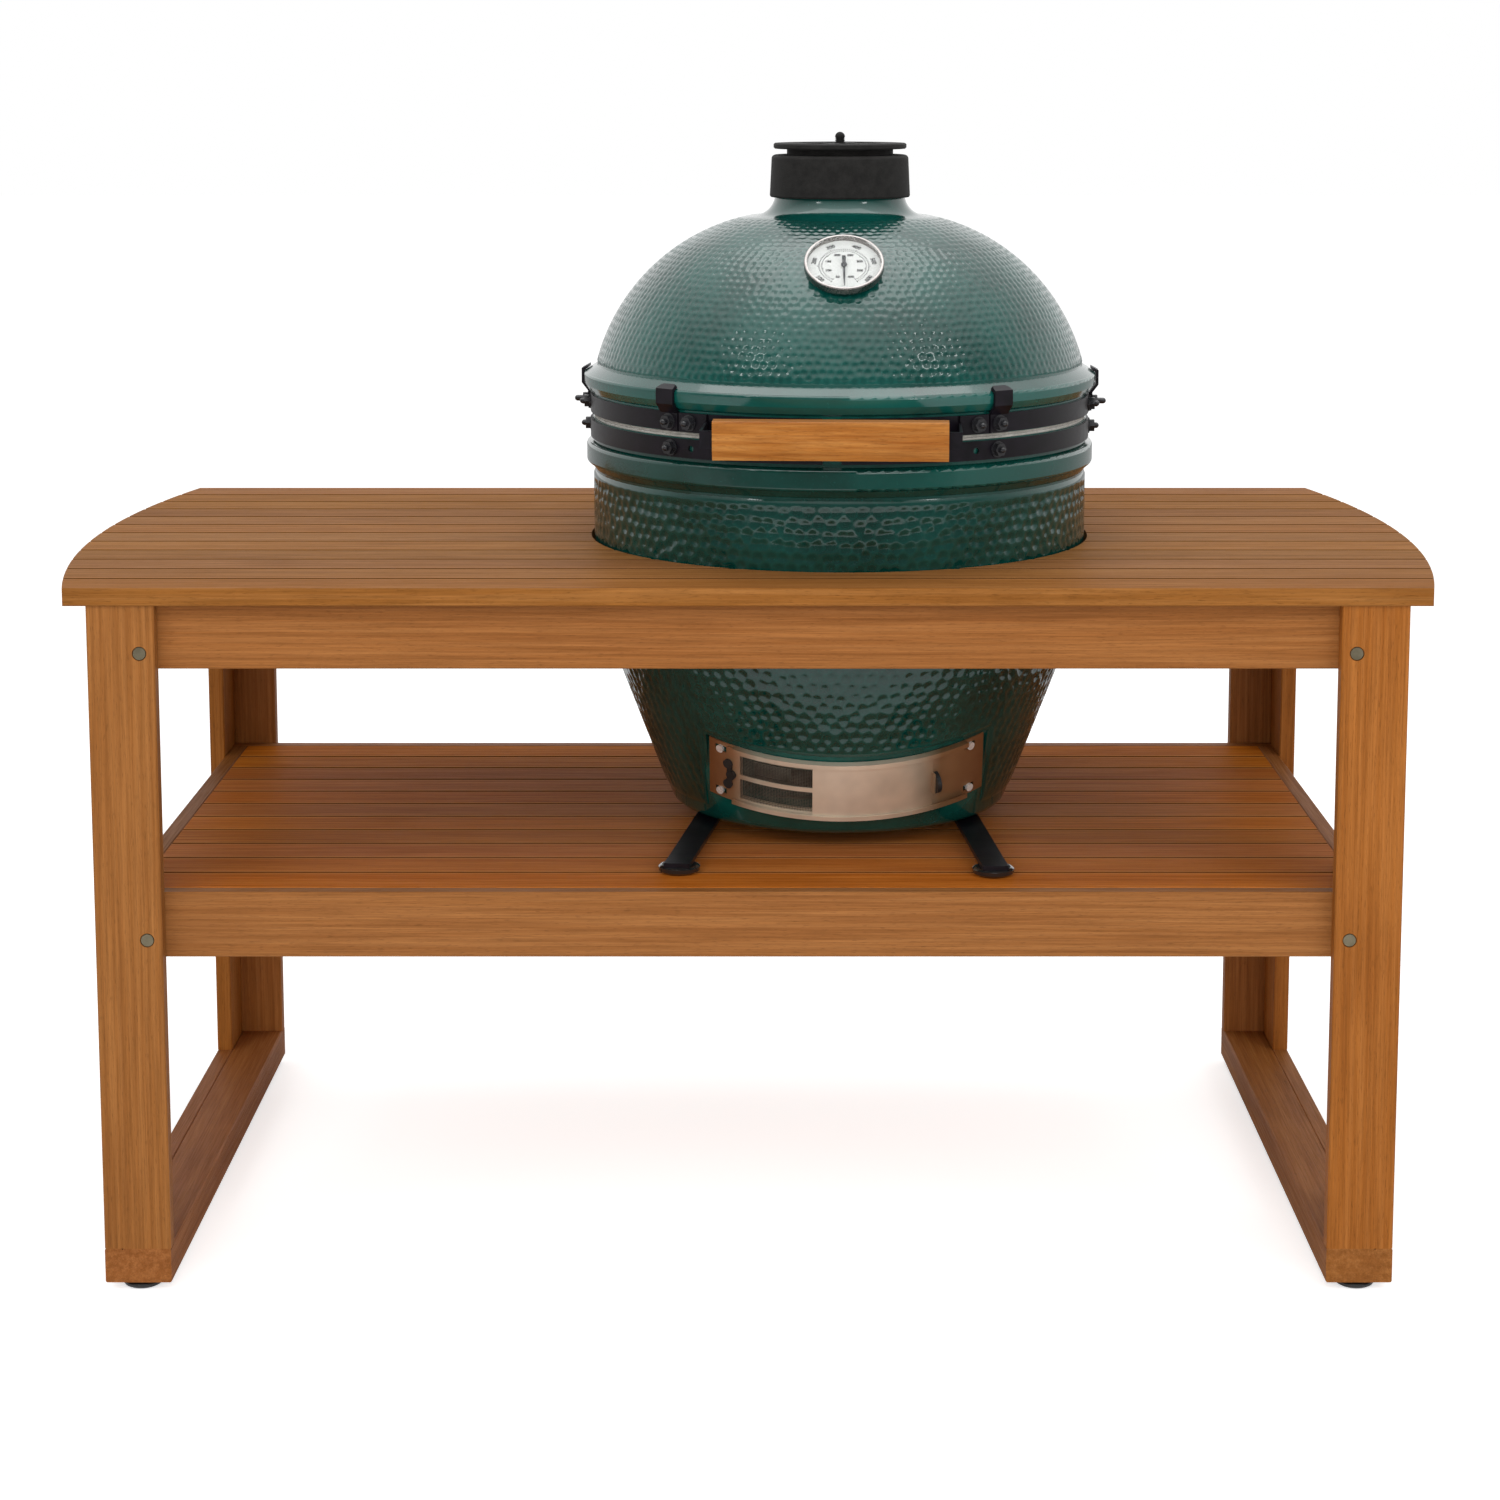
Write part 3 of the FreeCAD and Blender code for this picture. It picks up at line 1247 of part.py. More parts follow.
def torsion_spring(name, side):
    """A round wire coiled about the hinge pin, each end a leg that rests at a bracket's foot."""
    wire, radius = value("spring_wire"), value("spring_radius")
    turns, pitch = value("spring_turns") + 0.5, value("spring_pitch")
    rise = pitch / (2 * math.pi * radius)
    legs = []
    for reach in (0, turns * pitch):
        x = value("spring_start") + wire / 2 + reach
        face = value(f"sqrt(({STRAP_FACE} + hinge_plate) ^ 2 - {x} ^ 2)")
        legs.append((value("hinge_reach - spring_leg_gap") - face) * (1 + rise ** 2) ** 0.5)
    path = coil_path(radius, pitch, turns, *legs)
    print(f"spring {name}: least gap to itself {least_gap(path, wire):.2f} mm")
    begin = path.Edges[0].firstVertex().Point
    ring = Part.Wire(Part.makeCircle(wire / 2, begin, path.Edges[0].tangentAt(path.Edges[0].FirstParameter)))
    thing = made("Part::Feature", f"spring_{name}")
    thing.Shape = path.makePipeShell([ring], True)
    return place(thing, placed(f"{side} * (spring_start + spring_wire / 2)", "hinge_reach", SEAM,
                               [("Y", f"{side} * 90")]))


def make_hinge():
    """The pin and its two springs."""
    keep(place(hinge_pin(), BANDS))
    springs = [torsion_spring(name, side) for name, side in SIDES.items()]
    keep(place(group("hinge_springs", *springs), BANDS))


# Dome, in the grill's own frame

DOME_MIDDLE = f"({LID_LOW} + dome_arc_rise)"
NECK_TOP = f"({LID_LOW} + neck_height)"
NECK_FILLET_UP = "sqrt((dome_arc + neck_fillet) ^ 2 - (neck_radius + neck_fillet - dome_offset) ^ 2)"
NECK_SHARE = "(dome_arc / (dome_arc + neck_fillet))"


def dome_radius_at(height, arc):
    """The radius of the dome's arc at a height."""
    return f"dome_offset + sqrt(({arc}) ^ 2 - (({height}) - {DOME_MIDDLE}) ^ 2)"


def make_dome():
    """The lid: a rim over the seam, one long arc, a fillet and the chimney's neck."""
    slope_top = f"({LID_LOW} + lid_rim_high + lid_rim_slope)"
    inner_arc = "(dome_arc - dome_wall)"
    dome = turned("dome_blank", [
        ("seam_radius", LID_LOW),
        ("seam_radius", f"{LID_LOW} + lid_rim_low - 2.5"),
        ("lid_rim_under", f"{LID_LOW} + lid_rim_low"),
        ("lid_rim_radius - 1", f"{LID_LOW} + lid_rim_crease"),
        ("lid_rim_radius", f"{LID_LOW} + lid_rim_high - 3", "3.5", -1),
        ("lid_rim_radius - 2.6", f"{LID_LOW} + lid_rim_high + 1.4"),
        (dome_radius_at(slope_top, "dome_arc"), slope_top, "dome_arc", -1),
        (f"dome_offset + (neck_radius + neck_fillet - dome_offset) * {NECK_SHARE}",
         f"{DOME_MIDDLE} + {NECK_FILLET_UP} * {NECK_SHARE}", "neck_fillet", 1),
        ("neck_radius", f"{DOME_MIDDLE} + {NECK_FILLET_UP}"),
        ("neck_radius", NECK_TOP),
        ("neck_bore", NECK_TOP),
        ("neck_bore", f"{DOME_MIDDLE} + sqrt({inner_arc} ^ 2 - (neck_bore - dome_offset) ^ 2)", inner_arc, 1),
        (dome_radius_at(LID_LOW, inner_arc), LID_LOW),
    ])
    hole = rod("gauge_hole", "gauge_stem_radius + gauge_hole_gap", "4 * dome_wall",
               GAUGE, placed(z="-3 * dome_wall"))
    keep(place(cut("dome", dome, hole), GRILL))


# Thermometer on the dome's front, its own Z pointing out of the dome

GAUGE = placed("0", "-(dome_offset + dome_arc * cos(gauge_angle))",
               f"{DOME_MIDDLE} + dome_arc * sin(gauge_angle)", [("X", "90 - gauge_angle")])
GLASS_LOW = "(gauge_seat_gap + gauge_depth - glass_recess - glass_thickness)"
DIAL_TOP = "(gauge_seat_gap + gauge_back + dial_thickness)"


def make_thermometer():
    """Case with its stem, dial, needle and glass."""
    bore = "(gauge_radius - gauge_rim)"
    case = turned("thermometer_case", [
        ("0", "-gauge_stem_length"),
        ("gauge_stem_radius", "-gauge_stem_length"),
        ("gauge_stem_radius", "gauge_seat_gap"),
        ("gauge_radius - 4", "gauge_seat_gap", "4", -1),
        ("gauge_radius", "gauge_seat_gap + 4"),
        ("gauge_radius", "gauge_seat_gap + gauge_depth - 1.5", "1.5", -1),
        ("gauge_radius - 1.5", "gauge_seat_gap + gauge_depth"),
        (bore, "gauge_seat_gap + gauge_depth"),
        (bore, "gauge_seat_gap + gauge_back"),
        ("needle_spindle + running_gap", "gauge_seat_gap + gauge_back"),
        ("needle_spindle + running_gap", "gauge_seat_gap + 1"),
        ("0", "gauge_seat_gap + 1"),
    ])
    keep(place(case, GRILL, GAUGE))
    dial = hoop("thermometer_dial", "needle_spindle + running_gap", f"{bore} - glass_fit",
                "gauge_seat_gap + gauge_back", DIAL_TOP)
    keep(place(dial, GRILL, GAUGE))
    needle_low = f"({DIAL_TOP} + needle_lift)"
    blade = new_body("needle_blade")
    corners = [
        ("-0.4", "-needle_length"),
        ("0.4", "-needle_length"),
        ("needle_width / 2", "-needle_length * 0.55"),
        ("needle_width / 2", "0"),
        ("needle_tail_width / 2", "needle_tail * 0.45"),
        ("needle_tail_width / 2", "needle_tail"),
        ("-needle_tail_width / 2", "needle_tail"),
        ("-needle_tail_width / 2", "needle_tail * 0.45"),
        ("-needle_width / 2", "0"),
        ("-needle_width / 2", "-needle_length * 0.55"),
    ]
    pad(blade, sketched(blade, "XY_Plane", corners), "needle_thickness")
    place(blade, placed(z=needle_low))
    boss = rod("needle_boss_disc", "needle_boss", "needle_thickness + 0.6", placed(z=needle_low))
    spindle = rod("needle_spindle_rod", "needle_spindle", f"{needle_low} - gauge_seat_gap - 1.2",
                  placed(z="gauge_seat_gap + 1.2"))
    keep(place(fuse("thermometer_needle", blade, boss, spindle), GRILL, GAUGE))
    glass = rod("thermometer_glass", f"{bore} - glass_fit", "glass_thickness", GRILL, GAUGE, placed(z=GLASS_LOW))
    keep(glass)


# Vent on the chimney's neck, in the grill's own frame

CAP_TOP = f"({NECK_TOP} - cap_skirt + cap_height)"
SWING_LOW = f"({CAP_TOP} + slide_gap)"
WHEEL_LOW = f"({SWING_LOW} + swing_thickness + slide_gap)"
WHEEL_TOP = f"({WHEEL_LOW} + wheel_thickness)"


def vent_slots(label, low, height, turn):
    """Slots between two radii, evenly round the middle, as cutting tools."""
    pitch = value("360 / vent_slots")
    count = int(value("vent_slots"))
    return [curved_strip(f"{label}_{number + 1}", "vent_slot_inner", "vent_slot_outer", low, f"{low} + {height}",
                         f"{turn} + {pitch * number} - vent_slot_angle / 2",
                         f"{turn} + {pitch * number} + vent_slot_angle / 2")
            for number in range(count)]


def make_vent():
    """Cast cap with its pivot stud, swing plate, wheel and knob."""
    skirt_low = f"({NECK_TOP} - cap_skirt)"
    shell = turned("cap_shell", [
        ("neck_radius + cap_fit", skirt_low),
        ("cap_foot_radius - 1", skirt_low),
        ("cap_foot_radius", f"{skirt_low} + 2"),
        ("cap_top_radius", f"{CAP_TOP} - cap_round", "cap_round", -1),
        ("cap_top_radius - cap_round", CAP_TOP),
        ("cap_opening", CAP_TOP),
        ("cap_opening", f"{CAP_TOP} - cap_plate"),
        ("neck_radius - cap_wall", f"{CAP_TOP} - cap_plate"),
        ("neck_radius - cap_wall", NECK_TOP),
        ("neck_radius + cap_fit", NECK_TOP),
    ])
    stud = rod("cap_stud", "pivot_radius", "cap_plate / 2 + swing_thickness",
               placed("0", "pivot_offset", f"{CAP_TOP} - cap_plate / 2"))
    keep(place(fuse("vent_cap", shell, stud), GRILL))

    disc = rod("swing_disc", "swing_radius", "swing_thickness", placed(z=SWING_LOW))
    boss = rod("swing_boss", "pivot_boss", "swing_thickness", placed("0", "pivot_offset", SWING_LOW))
    pivot = rod("swing_pivot_bore", "pivot_radius + running_gap", "swing_thickness",
                placed("0", "pivot_offset", SWING_LOW))
    middle = rod("swing_middle_bore", "knob_radius - 1 + running_gap", "swing_thickness", placed(z=SWING_LOW))
    sink = rod("swing_sink", "knob_screw_head + running_gap", "knob_screw_sink", placed(z=SWING_LOW))
    slots = vent_slots("swing_slot", SWING_LOW, "swing_thickness", "0")
    plate = cut("vent_swing_plate", fuse("swing_blank", disc, boss),
                group("swing_cuts", pivot, middle, sink, *slots))
    keep(place(plate, GRILL))

    rim = turned("wheel_blank", [
        ("knob_radius - 1 + running_gap", WHEEL_LOW),
        ("wheel_radius - wheel_edge", WHEEL_LOW),
        ("wheel_radius", f"{WHEEL_LOW} + wheel_edge"),
        ("wheel_radius", f"{WHEEL_TOP} - wheel_edge"),
        ("wheel_radius - wheel_edge", WHEEL_TOP),
        ("knob_radius - 1 + running_gap", WHEEL_TOP),
    ])
    wheel = cut("vent_wheel", rim,
                group("wheel_cuts", *vent_slots("wheel_slot", WHEEL_LOW, "wheel_thickness", "wheel_turn")))
    keep(place(wheel, GRILL))

    ribs = int(value("knob_ribs"))
    rib = "((knob_height - knob_radius) / (2 * knob_ribs + 1))"
    sides = []
    for number in range(2 * ribs + 1):
        radius = "knob_radius" if number % 2 == 0 else "(knob_radius - knob_rib_depth)"
        sides.append((radius, f"{WHEEL_TOP} + {number} * {rib}"))
        sides.append((radius, f"{WHEEL_TOP} + {number + 1} * {rib}"))
    sides[-1] = (sides[-1][0], sides[-1][1], "knob_radius", -1)
    screw_low = f"({SWING_LOW} + slide_gap)"
    knob = turned("vent_knob", [
        ("0", screw_low),
        ("knob_screw_head", screw_low),
        ("knob_screw_head", f"{SWING_LOW} + knob_screw_sink - slide_gap"),
        ("knob_radius - 1", f"{SWING_LOW} + knob_screw_sink - slide_gap"),
        ("knob_radius - 1", WHEEL_TOP),
        *sides,
        ("0", f"{WHEEL_TOP} + knob_height"),
    ])
    keep(place(knob, GRILL))


# Inside the grill

def make_inside():
    """Firebox, fire grate, fire ring and cooking grid, stacked in the base."""
    lowest = "(floor_thickness + stack_gap)"
    belly_in = "(firebox_belly_radius - firebox_wall)"
    floor_top = "(firebox_belly_height + firebox_floor / 2)"
    floor_low = "(firebox_belly_height - firebox_floor / 2)"
    box = turned("firebox_blank", [
        ("firebox_foot_radius - firebox_wall", lowest),
        ("firebox_foot_radius", lowest),
        ("firebox_belly_radius", "firebox_belly_height"),
        ("firebox_mid_radius", "firebox_mid_height"),
        ("firebox_top_radius", "firebox_top_height"),
        ("firebox_top_radius - firebox_wall", "firebox_top_height"),
        ("firebox_mid_radius - firebox_wall", "firebox_mid_height"),
        (belly_in, floor_top),
        ("firebox_hole_radius", floor_top),
        ("firebox_hole_radius", floor_low),
        ("firebox_foot_radius - firebox_wall / 2", floor_low),
    ])
    port = block("firebox_port", ("draft_width", "firebox_belly_radius", f"{floor_low} - {lowest}"),
                 placed("-draft_width / 2", "-firebox_belly_radius - 20", lowest))
    keep(place(cut("firebox", box, port), GRILL))

    grate_low = f"({floor_top} + stack_gap)"
    disc = rod("grate_disc", "grate_radius", "grate_thickness", placed(z=grate_low))
    count = int(value("grate_slots"))
    slots = [block(f"grate_slot_{number + 1}",
                   ("grate_slot_outer - grate_slot_inner", "grate_slot_width", "grate_thickness"),
                   placed(turns=[("Z", f"{360 / count * number}")]),
                   placed("grate_slot_inner", "-grate_slot_width / 2", grate_low))
             for number in range(count)]
    keep(place(cut("fire_grate", disc, group("grate_slots", *slots)), GRILL))

    ring_low = "(firebox_top_height + stack_gap)"
    ring = turned("fire_ring", [
        ("fire_ring_low_radius - fire_ring_wall", ring_low),
        ("fire_ring_low_radius", ring_low),
        ("fire_ring_mid_radius", "fire_ring_mid_height"),
        ("fire_ring_top_radius", "fire_ring_top_height"),
        ("fire_ring_top_radius - fire_ring_wall", "fire_ring_top_height"),
        ("fire_ring_mid_radius - fire_ring_wall", "fire_ring_mid_height"),
    ])
    keep(place(ring, GRILL))

    grid_low = "(fire_ring_top_height + stack_gap)"
    grid_ring = hoop("grid_ring", "grid_radius - grid_ring_wire", "grid_radius", grid_low,
                     f"{grid_low} + grid_ring_wire")
    bars = []
    count = int(value("grid_bars"))
    for number in range(count):
        x = f"({number - (count - 1) / 2} * grid_pitch)"
        reach = f"sqrt((grid_radius - grid_ring_wire / 2) ^ 2 - {x} ^ 2)"
        bars.append(block(f"grid_bar_{number + 1:02d}", ("grid_wire", f"2 * {reach}", "grid_wire"),
                          placed(f"{x} - grid_wire / 2", f"-{reach}", f"{grid_low} + grid_wire")))
    tie_reach = "sqrt((grid_radius - grid_ring_wire / 2) ^ 2 - grid_tie_offset ^ 2)"
    ties = [block(f"grid_tie_{name}", (f"2 * {tie_reach}", "grid_wire", "grid_wire"),
                  placed(f"-{tie_reach}", f"{end} * grid_tie_offset - grid_wire / 2", f"{grid_low} + grid_weld"))
            for name, end in ENDS.items()]
    keep(place(fuse("cooking_grid", grid_ring, *bars, *ties), GRILL))


# Checks and files

def check_and_write(things):
    """Stop on any failed object or bad shape, then write each sub-part's file."""
    failed = [item.Label for item in document.Objects if {"Invalid", "Error"} & set(item.State)]
    if failed:
        raise RuntimeError("failed objects: " + ", ".join(failed))
    for thing in things:
        if thing.Shape.isNull() or not thing.Shape.isValid() or not thing.Shape.Solids:
            raise RuntimeError("bad shape: " + thing.Label)
    os.makedirs("parts", exist_ok=True)
    for thing in things:
        thing.Shape.exportStep(f"parts/{thing.Label}.step")
        print(f"{thing.Label}: {len(thing.Shape.Solids)} solids, {thing.Shape.Volume / 1000:.1f} cm3")


make_frame()
make_top()
make_shelf()
make_stand()
make_base()
make_draft_door()
make_seam()
make_hinge()
make_dome()
make_thermometer()
make_vent()
make_inside()
document.recompute()
check_and_write(sub_parts)
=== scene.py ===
"""Looks of a slatted hardwood table that carries a dark green ceramic kamado grill.

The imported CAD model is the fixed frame. This script dresses its pieces, replaces the felt rings, the
woven draft screen and the levelling feet, and adds the dimpled glaze, the dial's scales and the studio.
All sizes are in metres in the row frame unless a name says otherwise.
"""

import json
import logging
import math
from dataclasses import dataclass
from enum import Enum
from typing import Callable, Sequence

import bpy
import numpy as np
from mathutils import Matrix, Vector

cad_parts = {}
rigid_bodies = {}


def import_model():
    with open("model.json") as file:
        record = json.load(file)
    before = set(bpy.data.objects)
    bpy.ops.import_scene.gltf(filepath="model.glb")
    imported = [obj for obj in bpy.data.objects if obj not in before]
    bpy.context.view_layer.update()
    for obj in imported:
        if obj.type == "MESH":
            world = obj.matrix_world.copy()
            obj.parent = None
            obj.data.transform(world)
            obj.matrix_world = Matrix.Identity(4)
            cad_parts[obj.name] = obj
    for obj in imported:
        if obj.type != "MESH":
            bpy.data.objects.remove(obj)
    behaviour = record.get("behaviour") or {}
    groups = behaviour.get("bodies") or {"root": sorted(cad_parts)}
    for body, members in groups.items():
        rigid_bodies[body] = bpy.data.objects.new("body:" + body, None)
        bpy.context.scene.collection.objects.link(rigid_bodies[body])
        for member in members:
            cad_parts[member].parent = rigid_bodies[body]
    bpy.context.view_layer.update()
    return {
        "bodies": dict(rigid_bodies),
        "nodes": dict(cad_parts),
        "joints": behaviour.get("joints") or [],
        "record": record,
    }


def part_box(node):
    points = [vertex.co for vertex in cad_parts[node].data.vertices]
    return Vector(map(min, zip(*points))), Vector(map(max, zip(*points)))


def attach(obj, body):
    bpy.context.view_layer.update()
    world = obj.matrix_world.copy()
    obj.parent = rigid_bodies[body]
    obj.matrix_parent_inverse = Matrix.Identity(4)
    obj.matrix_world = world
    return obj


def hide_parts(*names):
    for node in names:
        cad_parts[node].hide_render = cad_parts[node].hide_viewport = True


log = logging.getLogger("kamado_table")

Colour = tuple[float, float, float]
Face = tuple[int, ...]
Place = tuple[float, float, float]

MM = 0.001
FAR = 500.0  # a distance in millimetres past every fade


class Axis(Enum):
    """A direction of the row frame, by its place in a vector."""

    X = 0
    Y = 1
    Z = 2


class Body(Enum):
    """The bodies that new pieces ride on."""

    KAMADO = "kamado"
    LID = "lid"
    SCREEN = "draft_screen_slide"
    FOOT_FRONT_LEFT = "levelling_foot_front_left"
    FOOT_FRONT_RIGHT = "levelling_foot_front_right"
    FOOT_REAR_LEFT = "levelling_foot_rear_left"
    FOOT_REAR_RIGHT = "levelling_foot_rear_right"


# Node trees


class NodeGraph:
    """A node tree, built with short calls."""

    def __init__(self, tree: bpy.types.NodeTree) -> None:
        """Start on a tree.

        Args:
            tree: where the nodes go.
        """
        self.tree = tree

    def add(self, kind: str, **settings: object) -> bpy.types.Node:
        """Add a node.

        Args:
            kind: the node's type.
            settings: the node's own properties.

        Returns:
            The node.
        """
        node = self.tree.nodes.new(kind)
        for name, setting in settings.items():
            setattr(node, name, setting)
        return node

    def feed(self, socket: bpy.types.NodeSocket, source: object) -> None:
        """Link a socket to an output, or set it.

        Args:
            socket: the socket.
            source: an output, number, colour or vector.
        """
        if isinstance(source, bpy.types.NodeSocket):
            self.tree.links.new(source, socket)
        elif isinstance(source, (tuple, list)) and len(source) == 3 and socket.type == "RGBA":
            socket.default_value = (*source, 1.0)
        else:
            socket.default_value = source

    def sum(self, operation: str, first: object, second: object = 0.0,
            third: object = 0.0) -> bpy.types.NodeSocket:
        """Work on numbers with a Math node.

        Args:
            operation: the Math node's operation.
            first: an output or number.
            second: an output or number.
            third: an output or number.

        Returns:
            The result's output.
        """
        node = self.add("ShaderNodeMath", operation=operation)
        for socket, source in zip(node.inputs, (first, second, third)):
            self.feed(socket, source)
        return node.outputs[0]

    def vector(self, operation: str, first: object,
               second: object = (0.0, 0.0, 0.0)) -> bpy.types.NodeSocket:
        """Work on vectors with a Vector Math node.

        Args:
            operation: the node's operation.
            first: an output or vector.
            second: an output or vector.

        Returns:
            The resulting vector's output.
        """
        node = self.add("ShaderNodeVectorMath", operation=operation)
        self.feed(node.inputs[0], first)
        self.feed(node.inputs[1], second)
        return node.outputs[0]

    def split(self, vector: object) -> tuple[bpy.types.NodeSocket, ...]:
        """Split a vector into its three numbers."""
        node = self.add("ShaderNodeSeparateXYZ")
        self.feed(node.inputs[0], vector)
        return tuple(node.outputs)

    def join(self, x: object, y: object, z: object) -> bpy.types.NodeSocket:
        """Join three numbers into a vector.

        Args:
            x: an output or number.
            y: an output or number.
            z: an output or number.

        Returns:
            The vector's output.
        """
        node = self.add("ShaderNodeCombineXYZ")
        for socket, source in zip(node.inputs, (x, y, z)):
            self.feed(socket, source)
        return node.outputs[0]

    def noise(self, vector: object, scale: float = 1.0, detail: float = 3.0,
              roughness: float = 0.55) -> bpy.types.NodeSocket:
        """Give a noise value about 0.5.

        Args:
            vector: where the noise is read.
            scale: features per unit.
            detail: octaves.
            roughness: weight of the finer octaves.

        Returns:
            The value's output.
        """
        node = self.add("ShaderNodeTexNoise")
        for name, source in (("Vector", vector), ("Scale", scale), ("Detail", detail),
                             ("Roughness", roughness)):
            self.feed(node.inputs[name], source)
        return node.outputs[0]

    def chance(self, vector: object) -> tuple[bpy.types.NodeSocket, ...]:
        """Give three random numbers.

        Args:
            vector: what they follow: whole numbers keep them the same all over a board.

        Returns:
            The three numbers' outputs.
        """
        node = self.add("ShaderNodeTexWhiteNoise", noise_dimensions="3D")
        self.feed(node.inputs["Vector"], vector)
        colour = self.add("ShaderNodeSeparateColor")
        self.feed(colour.inputs[0], node.outputs["Color"])
        return tuple(colour.outputs)

    def span(self, value: object, low: float, high: float, to_low: float, to_high: float,
             smooth: bool = False) -> bpy.types.NodeSocket:
        """Map a range of values onto another and keep within it.

        Args:
            value: the value's output.
            low: the value that becomes to_low.
            high: the value that becomes to_high.
            to_low: the first end of the result.
            to_high: the other end of the result.
            smooth: ease both ends.

        Returns:
            The mapped value's output.
        """
        node = self.add("ShaderNodeMapRange", interpolation_type="SMOOTHSTEP" if smooth else "LINEAR")
        for socket, source in zip(node.inputs, (value, low, high, to_low, to_high)):
            self.feed(socket, source)
        return node.outputs[0]

    def mix(self, factor: object, first: object, second: object, blend: str = "MIX") -> bpy.types.NodeSocket:
        """Mix two colours.

        Args:
            factor: how much of the second shows.
            first: an output or colour.
            second: an output or colour.
            blend: the blend mode.

        Returns:
            The mixed colour's output.
        """
        node = self.add("ShaderNodeMix", data_type="RGBA", blend_type=blend)
        self.feed(node.inputs[0], factor)
        self.feed(node.inputs[6], first)
        self.feed(node.inputs[7], second)
        return node.outputs[2]

    def either(self, share: object, first: object, second: object) -> bpy.types.NodeSocket:
        """Mix two numbers.

        Args:
            share: how much of the second counts.
            first: an output or number.
            second: an output or number.

        Returns:
            The mixed number's output.
        """
        node = self.add("ShaderNodeMix")
        self.feed(node.inputs[0], share)
        self.feed(node.inputs[2], first)
        self.feed(node.inputs[3], second)
        return node.outputs[0]


class MaterialGraph(NodeGraph):
    """One material's node tree with its principled shader."""

    def __init__(self, name: str) -> None:
        """Start a material.

        Args:
            name: the material's name.
        """
        self.material = bpy.data.materials.new(name)
        self.material.use_nodes = True
        super().__init__(self.material.node_tree)
        self.shader = self.tree.nodes["Principled BSDF"]
        self.output = self.tree.nodes["Material Output"]
        self.place = self.add("ShaderNodeTexCoord").outputs["Object"]

    def set(self, **sockets: object) -> None:
        """Feed the shader's sockets; an underscore stands for a space."""
        for name, source in sockets.items():
            self.feed(self.shader.inputs[name.replace("_", " ")], source)

    def bump(self, height: object, distance: float, strength: float) -> None:
        """Drive the shader's normal from a height.

        Args:
            height: the height's output, from 0 to 1.
            distance: what a height of 1 stands for, in metres.
            strength: how much of it shows.
        """
        node = self.add("ShaderNodeBump")
        for name, source in (("Height", height), ("Distance", distance), ("Strength", strength)):
            self.feed(node.inputs[name], source)
        self.feed(self.shader.inputs["Normal"], node.outputs[0])

    def shade(self, colour: object, tone: object) -> bpy.types.NodeSocket:
        """Multiply a colour by a number."""
        return self.mix(1.0, colour, self.join(tone, tone, tone), "MULTIPLY")


# Finishes


